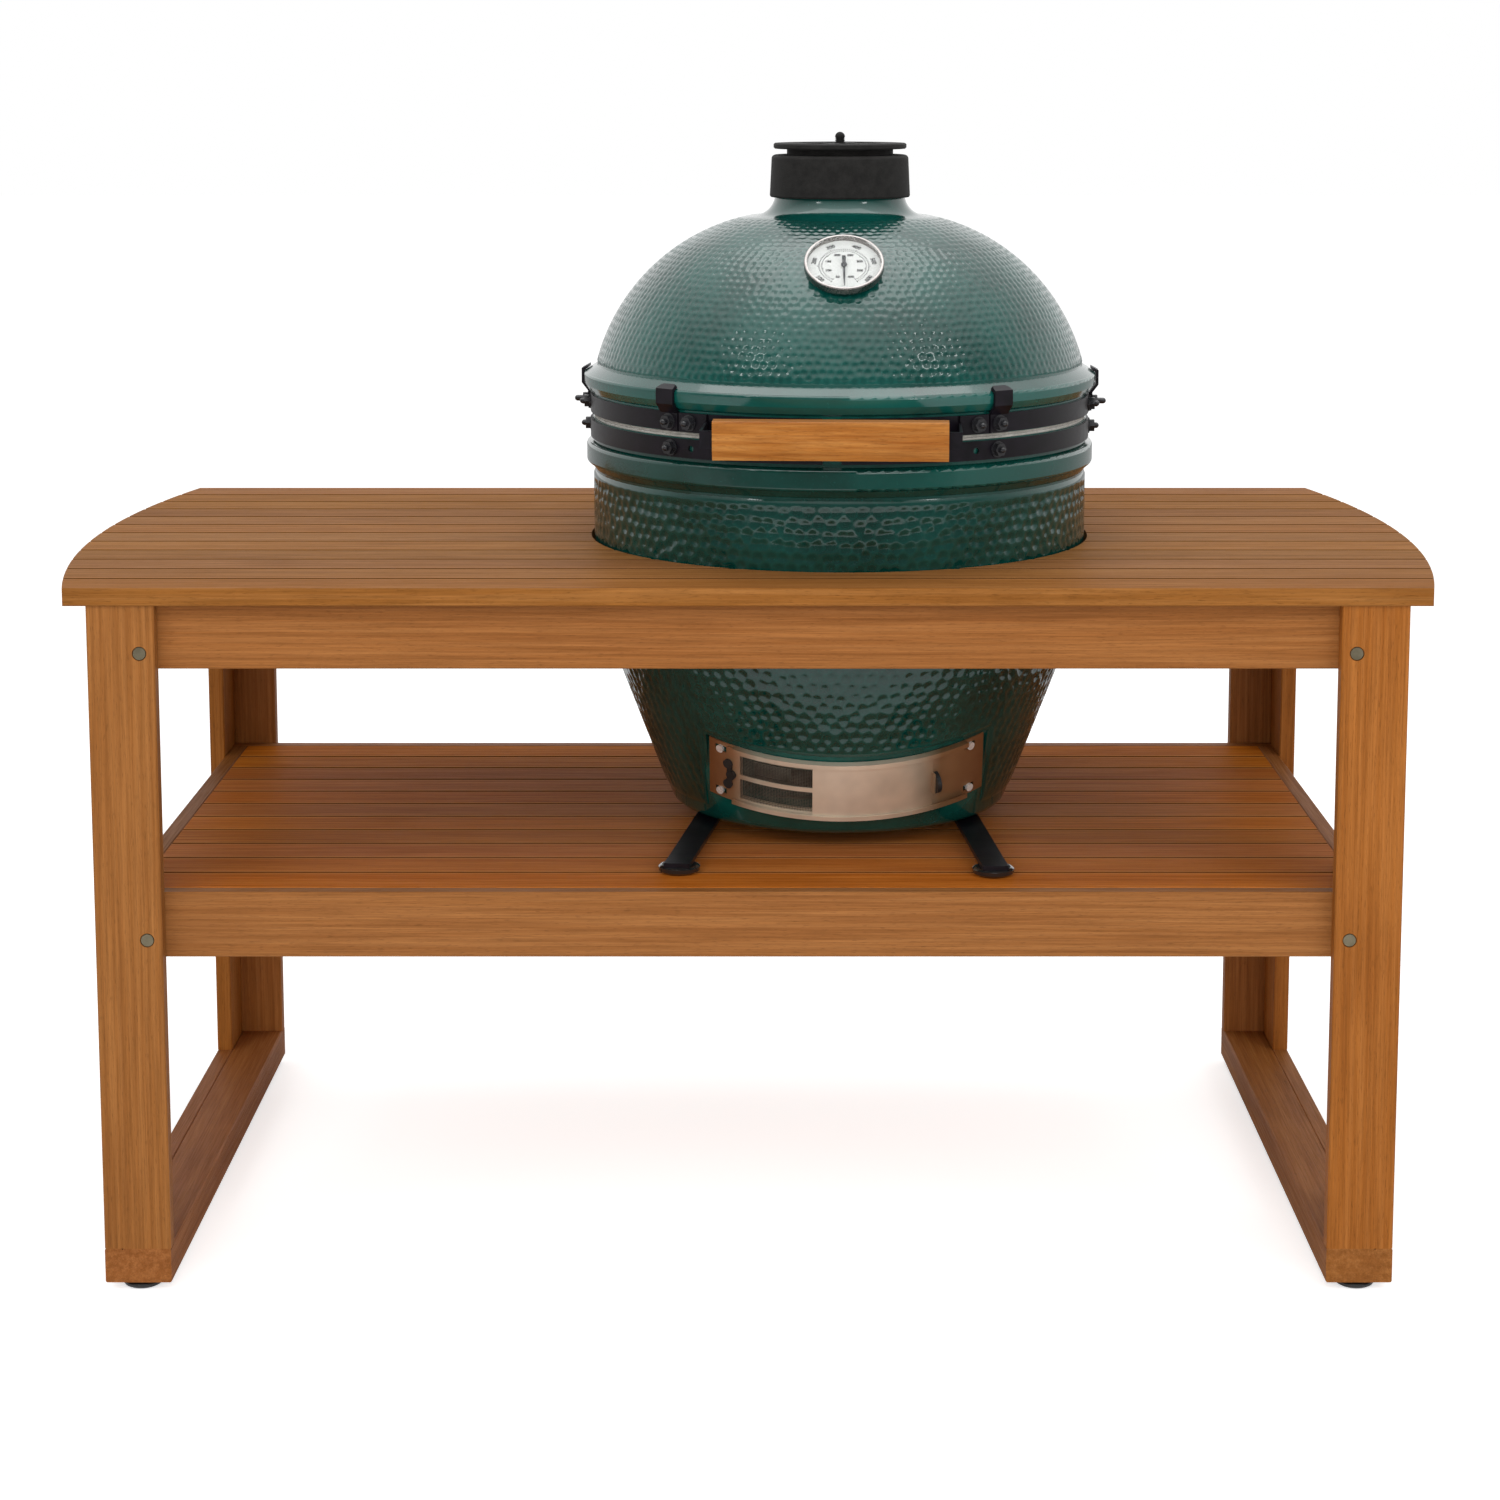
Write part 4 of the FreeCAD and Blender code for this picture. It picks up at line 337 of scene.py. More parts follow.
@dataclass(frozen=True)
class WoodFinish:
    """Oiled hardwood: year rings about a pith along each board, fibres, pores and blotches, with painted
    highlights along the boards' edges and painted shade in the gaps between them.

    Attributes:
        late: colour of the dark wood of the rings.
        body: colour of most of the wood.
        early: colour of the pale streaks.
        grain: the direction in which the boards run.
        across: the direction of their width.
        cell: pitch of the boards along each axis, or 0 where they run on.
        cell_start: where the first board begins.
        board_width: width of a board whose edges show, or 0.
        outer: distance from the middle to the last board's outer edge, which has no gap beside it.
        edge: painted highlight colour along a board's rounded edges.
        edge_share: how much of that painted highlight shows, or 0 for a plain edge without painted highlight
            or painted gap shade.
        board_spread: how much the boards differ in lightness.
        shifts: how far apart in the tree the boards may lie, along, across and through them.
        ring_pitch: distance between year rings.
        pith_aside: how far the pith may lie to a side.
        pith_wander: how far it wanders along the board.
        pith_below: its least depth, what chance adds to it and what its waves add.
        fibre_scales: features per metre along the grain and across it; so are the next three.
    """

    name: str
    late: Colour
    body: Colour
    early: Colour
    grain: Axis
    across: Axis
    cell: Place
    cell_start: Place = (0.0, 0.0, 0.0)
    board_width: float = 0.0
    outer: float = 9.0
    edge: Colour = (0.5, 0.2, 0.06)
    edge_share: float = 0.0
    board_spread: float = 0.22
    shifts: tuple[float, float, float] = (7.0, 0.9, 0.5)
    ring_pitch: float = 0.0032
    pith_aside: float = 0.09
    pith_wander: float = 0.05
    pith_below: tuple[float, float, float] = (0.02, 0.045, 0.016)
    fibre_scales: tuple[float, float] = (14.0, 620.0)
    streak_scales: tuple[float, float] = (3.0, 170.0)
    pore_scales: tuple[float, float] = (90.0, 1300.0)
    blotch_scales: tuple[float, float] = (3.5, 14.0)
    hues: tuple[float, float] = (0.497, 0.503)
    saturations: tuple[float, float] = (0.96, 1.03)
    roughness: tuple[float, float] = (0.45, 0.62)
    shine: float = 0.12

    def make(self) -> bpy.types.Material:
        """Build the material.

        Returns:
            The material.
        """
        graph = MaterialGraph(self.name)
        shifted = graph.vector("SUBTRACT", graph.place, self.cell_start)
        inverse = tuple(1 / size if size else 0.0 for size in self.cell)
        idle = tuple(0.0 if size else 0.5 for size in self.cell)
        cells = graph.vector("ADD", graph.vector("MULTIPLY", shifted, inverse), idle)
        luck = graph.chance(graph.vector("FLOOR", cells))
        place = graph.split(graph.place)
        axes = (self.grain.value, self.across.value, 3 - self.grain.value - self.across.value)
        run = [graph.sum("ADD", place[axis], graph.sum("MULTIPLY", chance, shift))
               for axis, chance, shift in zip(axes, luck, self.shifts)]
        board = graph.join(*run)
        local = self._from_middle(graph, cells, place)
        fibres = self._grain(graph, board, self.fibre_scales, 3.0, 0.6)
        pores = self._grain(graph, board, self.pore_scales, 1.0)
        pores = graph.span(pores, 0.62, 0.72, 0.0, 1.0)
        rings = self._rings(graph, board, run[0], local, luck)
        colour = self._colour(graph, board, rings, fibres, pores)
        # Painted highlights on the board edges and painted shade in the gaps.
        if self.edge_share:
            colour = self._edges(graph, colour, local, place)
        tone = graph.add("ShaderNodeHueSaturation")
        lightness = (1 - self.board_spread, 1 + self.board_spread)
        for name, source in (("Color", colour), ("Hue", graph.span(luck[1], 0.0, 1.0, *self.hues)),
                             ("Saturation", graph.span(luck[2], 0.0, 1.0, *self.saturations)),
                             ("Value", graph.span(luck[0], 0.0, 1.0, *lightness))):
            graph.feed(tone.inputs[name], source)
        graph.set(Base_Color=tone.outputs[0], Specular_IOR_Level=self.shine,
                  Roughness=graph.span(fibres, 0.3, 0.7, *reversed(self.roughness)))
        graph.bump(graph.sum("MULTIPLY_ADD", pores, -0.8, fibres), 0.00035, 0.5)
        return graph.material

    def _grain(self, graph: MaterialGraph, board: bpy.types.NodeSocket, scales: tuple[float, float],
               detail: float, roughness: float = 0.55) -> bpy.types.NodeSocket:
        """Give noise that is drawn out along the grain.

        Args:
            graph: the material's nodes.
            board: the place in the tree, with the grain first.
            scales: features per metre along the grain and across it.
            detail: octaves.
            roughness: weight of the finer octaves.

        Returns:
            The noise's output.
        """
        along, across = scales
        return graph.noise(graph.vector("MULTIPLY", board, (along, across, across)), 1.0, detail, roughness)

    def _rings(self, graph: MaterialGraph, board: bpy.types.NodeSocket, along: bpy.types.NodeSocket,
               local: bpy.types.NodeSocket, luck: Sequence[bpy.types.NodeSocket]) -> bpy.types.NodeSocket:
        """Draw year rings by the distance from a wandering pith below the board.

        Args:
            graph: the material's nodes.
            board: the place in the tree, with the grain first.
            along: the place along the grain.
            local: the distance from the board's middle.
            luck: the board's three random numbers.

        Returns:
            The rings' output, 1 in late wood.
        """
        least, spread, waves = self.pith_below
        wander = graph.noise(graph.join(graph.sum("MULTIPLY", along, 1.3), luck[1], luck[2]), 1.0, 1.0)
        aside = graph.sum("MULTIPLY_ADD", luck[1], self.pith_aside,
                          graph.sum("ADD", local, -self.pith_aside / 2))
        aside = graph.sum("MULTIPLY_ADD", wander, self.pith_wander,
                          graph.sum("ADD", aside, -self.pith_wander / 2))
        below = graph.sum("MULTIPLY_ADD", luck[2], spread, least)
        wave = graph.noise(graph.vector("MULTIPLY", board, (4.0, 30.0, 1.0)), 1.0, 2.0)
        below = graph.sum("MULTIPLY_ADD", wave, waves, below)
        squares = graph.sum("ADD", graph.sum("POWER", aside, 2.0), graph.sum("POWER", below, 2.0))
        turns = graph.sum("MULTIPLY", graph.sum("SQRT", squares), 1 / self.ring_pitch)
        rings = graph.noise(graph.join(turns, graph.sum("MULTIPLY", along, 2.2), luck[0]), 1.0, 2.5, 0.5)
        return graph.span(rings, 0.33, 0.68, 0.0, 1.0)

    def _colour(self, graph: MaterialGraph, board: bpy.types.NodeSocket, rings: bpy.types.NodeSocket,
                fibres: bpy.types.NodeSocket, pores: bpy.types.NodeSocket) -> bpy.types.NodeSocket:
        """Lay rings, streaks, blotches, fibres and pores over the wood's own colour.

        Args:
            graph: the material's nodes.
            board: the place in the tree, with the grain first.
            rings: 1 in late wood.
            fibres: noise of the fibres.
            pores: 1 in a pore.

        Returns:
            The colour's output.
        """
        streaks = self._grain(graph, board, self.streak_scales, 3.0)
        blotch = self._grain(graph, board, self.blotch_scales, 2.0)
        pore_colour = tuple(part * 0.35 for part in self.late)
        colour = graph.mix(graph.span(rings, 0.0, 1.0, 0.0, 0.5), self.body, self.late)
        colour = graph.mix(graph.span(streaks, 0.4, 0.75, 0.0, 0.7), colour, self.early)
        colour = graph.mix(graph.span(blotch, 0.55, 0.8, 0.0, 0.45), colour, self.late)
        colour = graph.shade(colour, graph.span(fibres, 0.25, 0.75, 0.76, 1.14))
        return graph.mix(graph.sum("MULTIPLY", pores, 0.35), colour, pore_colour)

    def _edges(self, graph: MaterialGraph, colour: bpy.types.NodeSocket, local: bpy.types.NodeSocket,
               place: Sequence[bpy.types.NodeSocket]) -> bpy.types.NodeSocket:
        """Paint highlights on the boards' rounded edges and paint shade into the gaps between them, but not
        at the outermost edges.

        Args:
            graph: the material's nodes.
            colour: the wood's colour.
            local: the distance from the board's middle.
            place: the place's three numbers.

        Returns:
            The colour's output.
        """
        half = self.board_width / 2
        # Painted shade: the gaps between boards, and the boards' sides in them, are painted dark.
        gap_shade_colour = tuple(part * 0.25 for part in self.late)
        off_middle = graph.sum("ABSOLUTE", local)
        from_axis = graph.sum("ABSOLUTE", place[self.across.value])
        inwards = graph.span(from_axis, self.outer - 8 * MM, self.outer - 6 * MM, 1.0, 0.0)
        # Painted highlight: a lighter band along each board's rounded edge.
        edge_highlight = graph.span(off_middle, half - 6 * MM, half - 3 * MM, 0.0, self.edge_share, True)
        gap_shade = graph.span(off_middle, half - 2.2 * MM, half - 1.0 * MM, 0.0, 0.85, True)
        colour = graph.mix(graph.sum("MULTIPLY", edge_highlight, inwards), colour, self.edge)
        return graph.mix(graph.sum("MULTIPLY", gap_shade, inwards), colour, gap_shade_colour)

    def _from_middle(self, graph: MaterialGraph, cells: bpy.types.NodeSocket,
                     place: Sequence[bpy.types.NodeSocket]) -> bpy.types.NodeSocket:
        """Measure across the board from its middle, or from the row frame's plane for a lone board.

        Args:
            graph: the material's nodes.
            cells: the place in board pitches.
            place: the place's three numbers.

        Returns:
            The distance's output.
        """
        pitch = self.cell[self.across.value]
        if not self.board_width or not pitch:
            return place[self.across.value]
        share = graph.split(graph.vector("FRACTION", cells))[self.across.value]
        return graph.sum("MULTIPLY_ADD", share, pitch, -self.board_width / 2)


@dataclass(frozen=True)
class GlazeFinish:
    """Thick glossy glaze: pools darker in the hollows, with fine pinholes and a slight orange peel."""

    name: str
    deep: Colour
    body: Colour
    thin: Colour
    cloud_scale: float = 9.0
    speck_scale: float = 420.0
    peel_scale: float = 160.0
    peel: float = 0.0004
    roughness: float = 0.14
    index: float = 1.5
    coat: float = 0.25

    def make(self) -> bpy.types.Material:
        """Build the material.

        Returns:
            The material.
        """
        graph = MaterialGraph(self.name)
        cloud = graph.noise(graph.place, self.cloud_scale, 4.0, 0.6)
        speck = graph.noise(graph.place, self.speck_scale, 2.0)
        curve = graph.add("ShaderNodeNewGeometry").outputs["Pointiness"]
        colour = graph.mix(graph.span(cloud, 0.35, 0.7, 0.0, 1.0), self.deep, self.body)
        colour = graph.mix(graph.span(curve, 0.50, 0.56, 0.0, 0.6), colour, self.thin)
        colour = graph.mix(graph.span(speck, 0.66, 0.74, 0.0, 0.5), colour, self.thin)
        graph.set(Base_Color=colour, Roughness=self.roughness, IOR=self.index, Coat_Weight=self.coat,
                  Coat_Roughness=0.04, Coat_IOR=self.index)
        graph.bump(graph.noise(graph.place, self.peel_scale, 2.0), self.peel, 0.25)
        return graph.material


@dataclass(frozen=True)
class PlainFinish:
    """A finish of two close tones with fine grain in its roughness and a small relief."""

    name: str
    base: Colour
    other: Colour
    roughness: tuple[float, float]
    metallic: float = 0.0
    spot_scale: float = 60.0
    relief_scale: float = 700.0
    relief: float = 0.0001
    relief_strength: float = 0.3
    specular: float = 0.5
    coat: float = 0.0
    sheen: float = 0.0

    def make(self) -> bpy.types.Material:
        """Build the material.

        Returns:
            The material.
        """
        graph = MaterialGraph(self.name)
        spots = graph.noise(graph.place, self.spot_scale, 4.0, 0.6)
        relief = graph.noise(graph.place, self.relief_scale, 3.0, 0.6)
        share = graph.span(spots, 0.35, 0.7, 0.0, 1.0)
        graph.set(Base_Color=graph.mix(share, self.base, self.other), Metallic=self.metallic,
                  Roughness=graph.span(graph.sum("ADD", spots, relief), 0.7, 1.3, *self.roughness),
                  Specular_IOR_Level=self.specular, Coat_Weight=self.coat, Coat_Roughness=0.12)
        if self.sheen:
            graph.set(Sheen_Weight=self.sheen, Sheen_Roughness=0.6)
        graph.bump(relief, self.relief, self.relief_strength)
        return graph.material


@dataclass(frozen=True)
class SheetFinish:
    """Satin stainless sheet, warm from heat, with painted reflection and shade: brightest in the middle of
    the draft door and painted darker towards both ends.

    Attributes:
        tones: places along the row frame's X with the colour there: heat tint mixed with painted reflection
            and shade.
        brushing: features per metre of the brushed streaks along each axis.
    """

    name: str = "satin_sheet_painted_light"
    # Painted reflection and shade: the door's middle is painted bright and both ends dark, on top of the
    # sheet's heat tint.
    tones: tuple[tuple[float, Colour], ...] = (
        (-0.050, (0.215, 0.080, 0.024)), (-0.020, (0.380, 0.200, 0.100)), (0.010, (0.700, 0.590, 0.450)),
        (0.105, (0.800, 0.700, 0.560)), (0.190, (0.640, 0.520, 0.390)), (0.225, (0.310, 0.175, 0.085)),
        (0.275, (0.230, 0.100, 0.040)))
    brushing: Place = (8.0, 8.0, 700.0)
    cloud_scale: float = 24.0
    metallic: float = 0.55
    roughness: tuple[float, float] = (0.28, 0.36)

    def make(self) -> bpy.types.Material:
        """Build the material.

        Returns:
            The material.
        """
        graph = MaterialGraph(self.name)
        start, end = self.tones[0][0], self.tones[-1][0]
        # This ramp paints reflection and shade along X into the sheet's colour.
        tint_and_painted_light_ramp = graph.add("ShaderNodeValToRGB")
        while len(tint_and_painted_light_ramp.color_ramp.elements) < len(self.tones):
            tint_and_painted_light_ramp.color_ramp.elements.new(0.5)
        for element, (place, colour) in zip(tint_and_painted_light_ramp.color_ramp.elements, self.tones):
            element.position = (place - start) / (end - start)
            element.color = (*colour, 1.0)
        graph.feed(tint_and_painted_light_ramp.inputs[0], graph.span(graph.split(graph.place)[0], start, end, 0.0, 1.0))
        streaks = graph.noise(graph.vector("MULTIPLY", graph.place, self.brushing), 1.0, 2.0)
        cloud = graph.noise(graph.place, self.cloud_scale, 2.0)
        colour = graph.shade(tint_and_painted_light_ramp.outputs[0], graph.span(cloud, 0.3, 0.7, 0.86, 1.08))
        graph.set(Base_Color=colour, Metallic=self.metallic,
                  Roughness=graph.span(streaks, 0.3, 0.7, *self.roughness))
        graph.bump(streaks, 0.00003, 0.2)
        return graph.material


@dataclass(frozen=True)
class GlassFinish:
    """Clear flat glass that lets the lamps through."""

    name: str = "clear_cover_glass"
    tint: Colour = (0.97, 0.985, 0.98)
    index: float = 1.15

    def make(self) -> bpy.types.Material:
        """Build the material.

        Returns:
            The material.
        """
        graph = MaterialGraph(self.name)
        graph.set(Base_Color=self.tint, Roughness=0.02, IOR=self.index, Transmission_Weight=1.0)
        clear = graph.add("ShaderNodeBsdfTransparent")
        rays = graph.add("ShaderNodeLightPath")
        mixed = graph.add("ShaderNodeMixShader")
        for socket, source in zip(mixed.inputs, (rays.outputs["Is Shadow Ray"], graph.shader.outputs[0],
                                                 clear.outputs[0])):
            graph.feed(socket, source)
        graph.feed(graph.output.inputs[0], mixed.outputs[0])
        return graph.material


TOP_WOOD = dict(late=(0.150, 0.055, 0.012), body=(0.265, 0.108, 0.027), early=(0.370, 0.172, 0.055))
FRAME_WOOD = dict(late=(0.190, 0.059, 0.010), body=(0.295, 0.102, 0.0195), early=(0.400, 0.157, 0.040))
# The shelf's wood is painted lighter than the top's and the frame's: painted light for the shelf, which lies
# in the top's shade.
SHELF_WOOD_PAINTED_LIGHTER = dict(late=(0.290, 0.078, 0.011), body=(0.490, 0.145, 0.023), early=(0.630, 0.230, 0.048))

TOP_HALF = 0.400
SLAT_PITCH = 67 * MM
SLAT_WIDTH = 63 * MM
SHELF_HALF = 0.3549
SHELF_PITCH = 64.8 * MM
SHELF_WIDTH = 61.8 * MM

# The top's and the shelf's edge colours are painted highlights, and their gaps get painted shade.
FINISHES = {
    "top": WoodFinish("top_slat_wood", **TOP_WOOD, grain=Axis.X, across=Axis.Y,
                      cell=(0.0, SLAT_PITCH, 0.0), cell_start=(0.0, -TOP_HALF, 0.0),
                      board_width=SLAT_WIDTH, outer=TOP_HALF, edge=(0.44, 0.19, 0.06), edge_share=0.55,
                      board_spread=0.12, shine=0.02),
    "shelf": WoodFinish("shelf_slat_wood_painted_lighter", **SHELF_WOOD_PAINTED_LIGHTER, grain=Axis.X, across=Axis.Y,
                        cell=(0.0, SHELF_PITCH, 0.0), cell_start=(0.0, -SHELF_HALF, 0.0),
                        board_width=SHELF_WIDTH, outer=SHELF_HALF, edge=(0.66, 0.27, 0.08), edge_share=0.6,
                        board_spread=0.16, shine=0.02),
    "rails_x": WoodFinish("rail_wood", **FRAME_WOOD, grain=Axis.X, across=Axis.Z, cell=(0.0, 0.6, 0.4),
                          cell_start=(0.0, -0.3, -0.2), board_spread=0.08),
    "rails_y": WoodFinish("side_rail_wood", **FRAME_WOOD, grain=Axis.Y, across=Axis.Z, cell=(0.3, 0.0, 0.4),
                          cell_start=(-0.15, 0.0, -0.2), board_spread=0.12),
    "legs": WoodFinish("leg_wood", **FRAME_WOOD, grain=Axis.Z, across=Axis.X, cell=(0.5, 0.25, 0.0),
                       cell_start=(-0.25, -0.125, 0.0), board_spread=0.1),
    "grip": WoodFinish("grip_wood", late=(0.20, 0.058, 0.010), body=(0.36, 0.135, 0.026),
                       early=(0.53, 0.250, 0.068), grain=Axis.X, across=Axis.Z, cell=(0.0, 0.0, 0.0),
                       board_spread=0.0, ring_pitch=0.0026, roughness=(0.28, 0.42)),
    # Lit and shaded copies of one glaze: the dome's is painted lighter for the light on its top, the base's
    # darker for the shade under the dome's rim.
    "glaze": GlazeFinish("base_green_glaze", (0.001, 0.022, 0.016), (0.002, 0.046, 0.036),
                         (0.006, 0.095, 0.076)),
    "dome_glaze": GlazeFinish("dome_green_glaze_painted_lighter", (0.001, 0.036, 0.029), (0.003, 0.070, 0.057),
                              (0.010, 0.130, 0.108)),
    "clay": PlainFinish("fired_clay", (0.50, 0.42, 0.33), (0.62, 0.54, 0.44), (0.75, 0.95), spot_scale=25.0,
                        relief_scale=260.0, relief=0.0008),
    "felt": PlainFinish("pressed_felt", (0.33, 0.31, 0.27), (0.50, 0.48, 0.43), (0.9, 1.0), spot_scale=120.0,
                        relief_scale=900.0, relief=0.0009, relief_strength=0.9, specular=0.1, sheen=0.5),
    "powder": PlainFinish("powder_coat", (0.004, 0.0035, 0.005), (0.008, 0.006, 0.010), (0.28, 0.40),
                          relief_scale=1500.0, relief=0.0001, specular=0.24),
    "fastener": PlainFinish("black_fastener", (0.010, 0.010, 0.012), (0.022, 0.022, 0.025), (0.22, 0.40),
                            specular=0.6),
    "spring": PlainFinish("spring_wire", (0.20, 0.20, 0.21), (0.32, 0.32, 0.33), (0.25, 0.42), metallic=1.0),
    "sheet_steel": SheetFinish(),
    "screw": PlainFinish("bright_screw", (0.80, 0.79, 0.76), (0.88, 0.87, 0.84), (0.16, 0.30), metallic=0.6),
    "wire": PlainFinish("woven_wire", (0.13, 0.105, 0.08), (0.22, 0.18, 0.14), (0.35, 0.5), metallic=0.7),
    "plastic": PlainFinish("satin_plastic", (0.012, 0.012, 0.012), (0.018, 0.018, 0.018), (0.35, 0.5)),
    "glide": PlainFinish("glossy_plastic", (0.010, 0.010, 0.010), (0.014, 0.014, 0.014), (0.10, 0.2),
                         coat=0.5),
    "cast": PlainFinish("matt_casting", (0.010, 0.0095, 0.009), (0.019, 0.018, 0.017), (0.6, 0.8),
                        spot_scale=90.0, relief_scale=800.0, relief=0.0005, relief_strength=0.6,
                        specular=0.18),
    "chrome": PlainFinish("polished_rim", (0.27, 0.25, 0.24), (0.36, 0.34, 0.33), (0.22, 0.34),
                          metallic=1.0),
    "dial": PlainFinish("dial_enamel", (0.47, 0.47, 0.46), (0.51, 0.51, 0.50), (0.5, 0.65), relief=0.00002,
                        specular=0.2),
    "needle": PlainFinish("needle_black", (0.02, 0.02, 0.023), (0.03, 0.03, 0.034), (0.4, 0.55)),
    "ink": PlainFinish("dial_ink", (0.010, 0.010, 0.012), (0.016, 0.016, 0.018), (0.5, 0.6), relief=0.00001,
                       specular=0.1),
    "grid": PlainFinish("grid_rods", (0.42, 0.41, 0.39), (0.55, 0.54, 0.52), (0.25, 0.45), metallic=1.0),
    "bolt": PlainFinish("frame_bolt", (0.20, 0.17, 0.11), (0.30, 0.26, 0.18), (0.35, 0.5), metallic=1.0),
    "glass": GlassFinish(),
}

X_RAILS = ("apron_front", "apron_rear", "shelf_rail_front", "shelf_rail_rear")
OWN_FINISHES = {"frame_bolts": "bolt", "dome": "dome_glaze"}

SLOT_FINISHES = {
    "top_wood": "top",
    "shelf_wood": "shelf",
    "grip_wood": "grip",
    "green_ceramic": "glaze",
    "fire_clay": "clay",
    "felt": "felt",
    "black_steel": "powder",
    "black_fastener": "fastener",
    "spring_steel": "spring",
    "pale_steel": "sheet_steel",
    "screw_steel": "screw",
    "mesh_steel": "wire",
    "black_plastic": "plastic",
    "glide_plastic": "glide",
    "cast_black": "cast",
    "bright_rim": "chrome",
    "white_dial": "dial",
    "dark_needle": "needle",
    "clear_glass": "glass",
    "grid_steel": "grid",
}


class Paint:
    """Makes each finish once and puts it on pieces."""

    def __init__(self) -> None:
        """Start with no material made."""
        self.made: dict[str, bpy.types.Material] = {}

    def get(self, finish: str) -> bpy.types.Material:
        """Give a finish's material, made on first use.

        Args:
            finish: its name in FINISHES.

        Returns:
            The material.
        """
        if finish not in self.made:
            self.made[finish] = FINISHES[finish].make()
        return self.made[finish]

    def coat(self, piece: bpy.types.Object, finish: str) -> None:
        """Put one finish all over a piece.

        Args:
            piece: the piece.
            finish: its name in FINISHES.
        """
        if not piece.material_slots:
            piece.data.materials.append(self.get(finish))
        for slot in piece.material_slots:
            slot.material = self.get(finish)


# Meshes


class MeshParts:
    """Vertices and faces gathered for one piece."""

    def __init__(self) -> None:
        """Start empty."""
        self.points: list[np.ndarray] = []
        self.faces: list[Face] = []
        self.count = 0

    def add_points(self, points: np.ndarray) -> int:
        """Add points.

        Args:
            points: an array of three columns.

        Returns:
            The index of the first.
        """
        first = self.count
        self.points.append(np.asarray(points, float).reshape(-1, 3))
        self.count += len(self.points[-1])
        return first

    def band(self, low: int, high: int, count: int) -> None:
        """Join two closed rings with faces.

        Args:
            low: index of the one ring's first point.
            high: index of the other ring's first point.
            count: how many points each has.
        """
        for k in range(count):
            after = (k + 1) % count
            self.faces.append((low + k, low + after, high + after, high + k))

    def cap(self, first: int, count: int, reverse: bool = False) -> None:
        """Close a ring with one face, turned round on request."""
        ring = tuple(range(first, first + count))
        self.faces.append(ring[::-1] if reverse else ring)

    def tube(self, centre: np.ndarray, radius: float, sides: int, aside: np.ndarray) -> None:
        """Add a closed tube with capped ends.

        Args:
            centre: points of its centre line.
            radius: the tube's radius.
            sides: how many sides.
            aside: a direction for each point, away from the line.
        """
        ahead = np.gradient(centre, axis=0)
        ahead /= np.linalg.norm(ahead, axis=1)[:, None]
        side = np.cross(ahead, aside)
        side /= np.linalg.norm(side, axis=1)[:, None]
        up = np.cross(side, ahead)
        turn = np.arange(sides)[None, :, None] * math.tau / sides
        ring = side[:, None, :] * np.cos(turn) + up[:, None, :] * np.sin(turn)
        first = self.add_points(centre[:, None, :] + ring * radius)
        last = first + (len(centre) - 1) * sides
        for low in range(first, last, sides):
            self.band(low, low + sides, sides)
        self.cap(first, sides, True)
        self.cap(last, sides)

    def make(self, name: str, body: Body, slot: str) -> bpy.types.Object:
        """Make the piece, smooth all over, and let it ride.

        Args:
            name: the piece's name.
            body: what it rides on.
            slot: the record's material slot; not used.

        Returns:
            The piece.
        """
        mesh = bpy.data.meshes.new(name)
        mesh.from_pydata(np.concatenate(self.points).tolist(), [], self.faces)
        mesh.validate()
        mesh.update()
        mesh.shade_smooth()
        piece = bpy.data.objects.new(name, mesh)
        bpy.context.scene.collection.objects.link(piece)
        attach(piece, body.value)
        log.info("%s: %d faces on %s", name, len(mesh.polygons), body.value)
        return piece


def smooth_step(value: np.ndarray | float, low: float, high: float) -> np.ndarray:
    """Ease from 0 at low to 1 at high."""
    share = np.clip((value - low) / (high - low), 0, 1)
    return share * share * (3 - 2 * share)


def off_front(turn: np.ndarray) -> np.ndarray:
    """Say how far angles lie from 0 on the shorter way round."""
    return np.abs((turn + math.pi) % math.tau - math.pi)


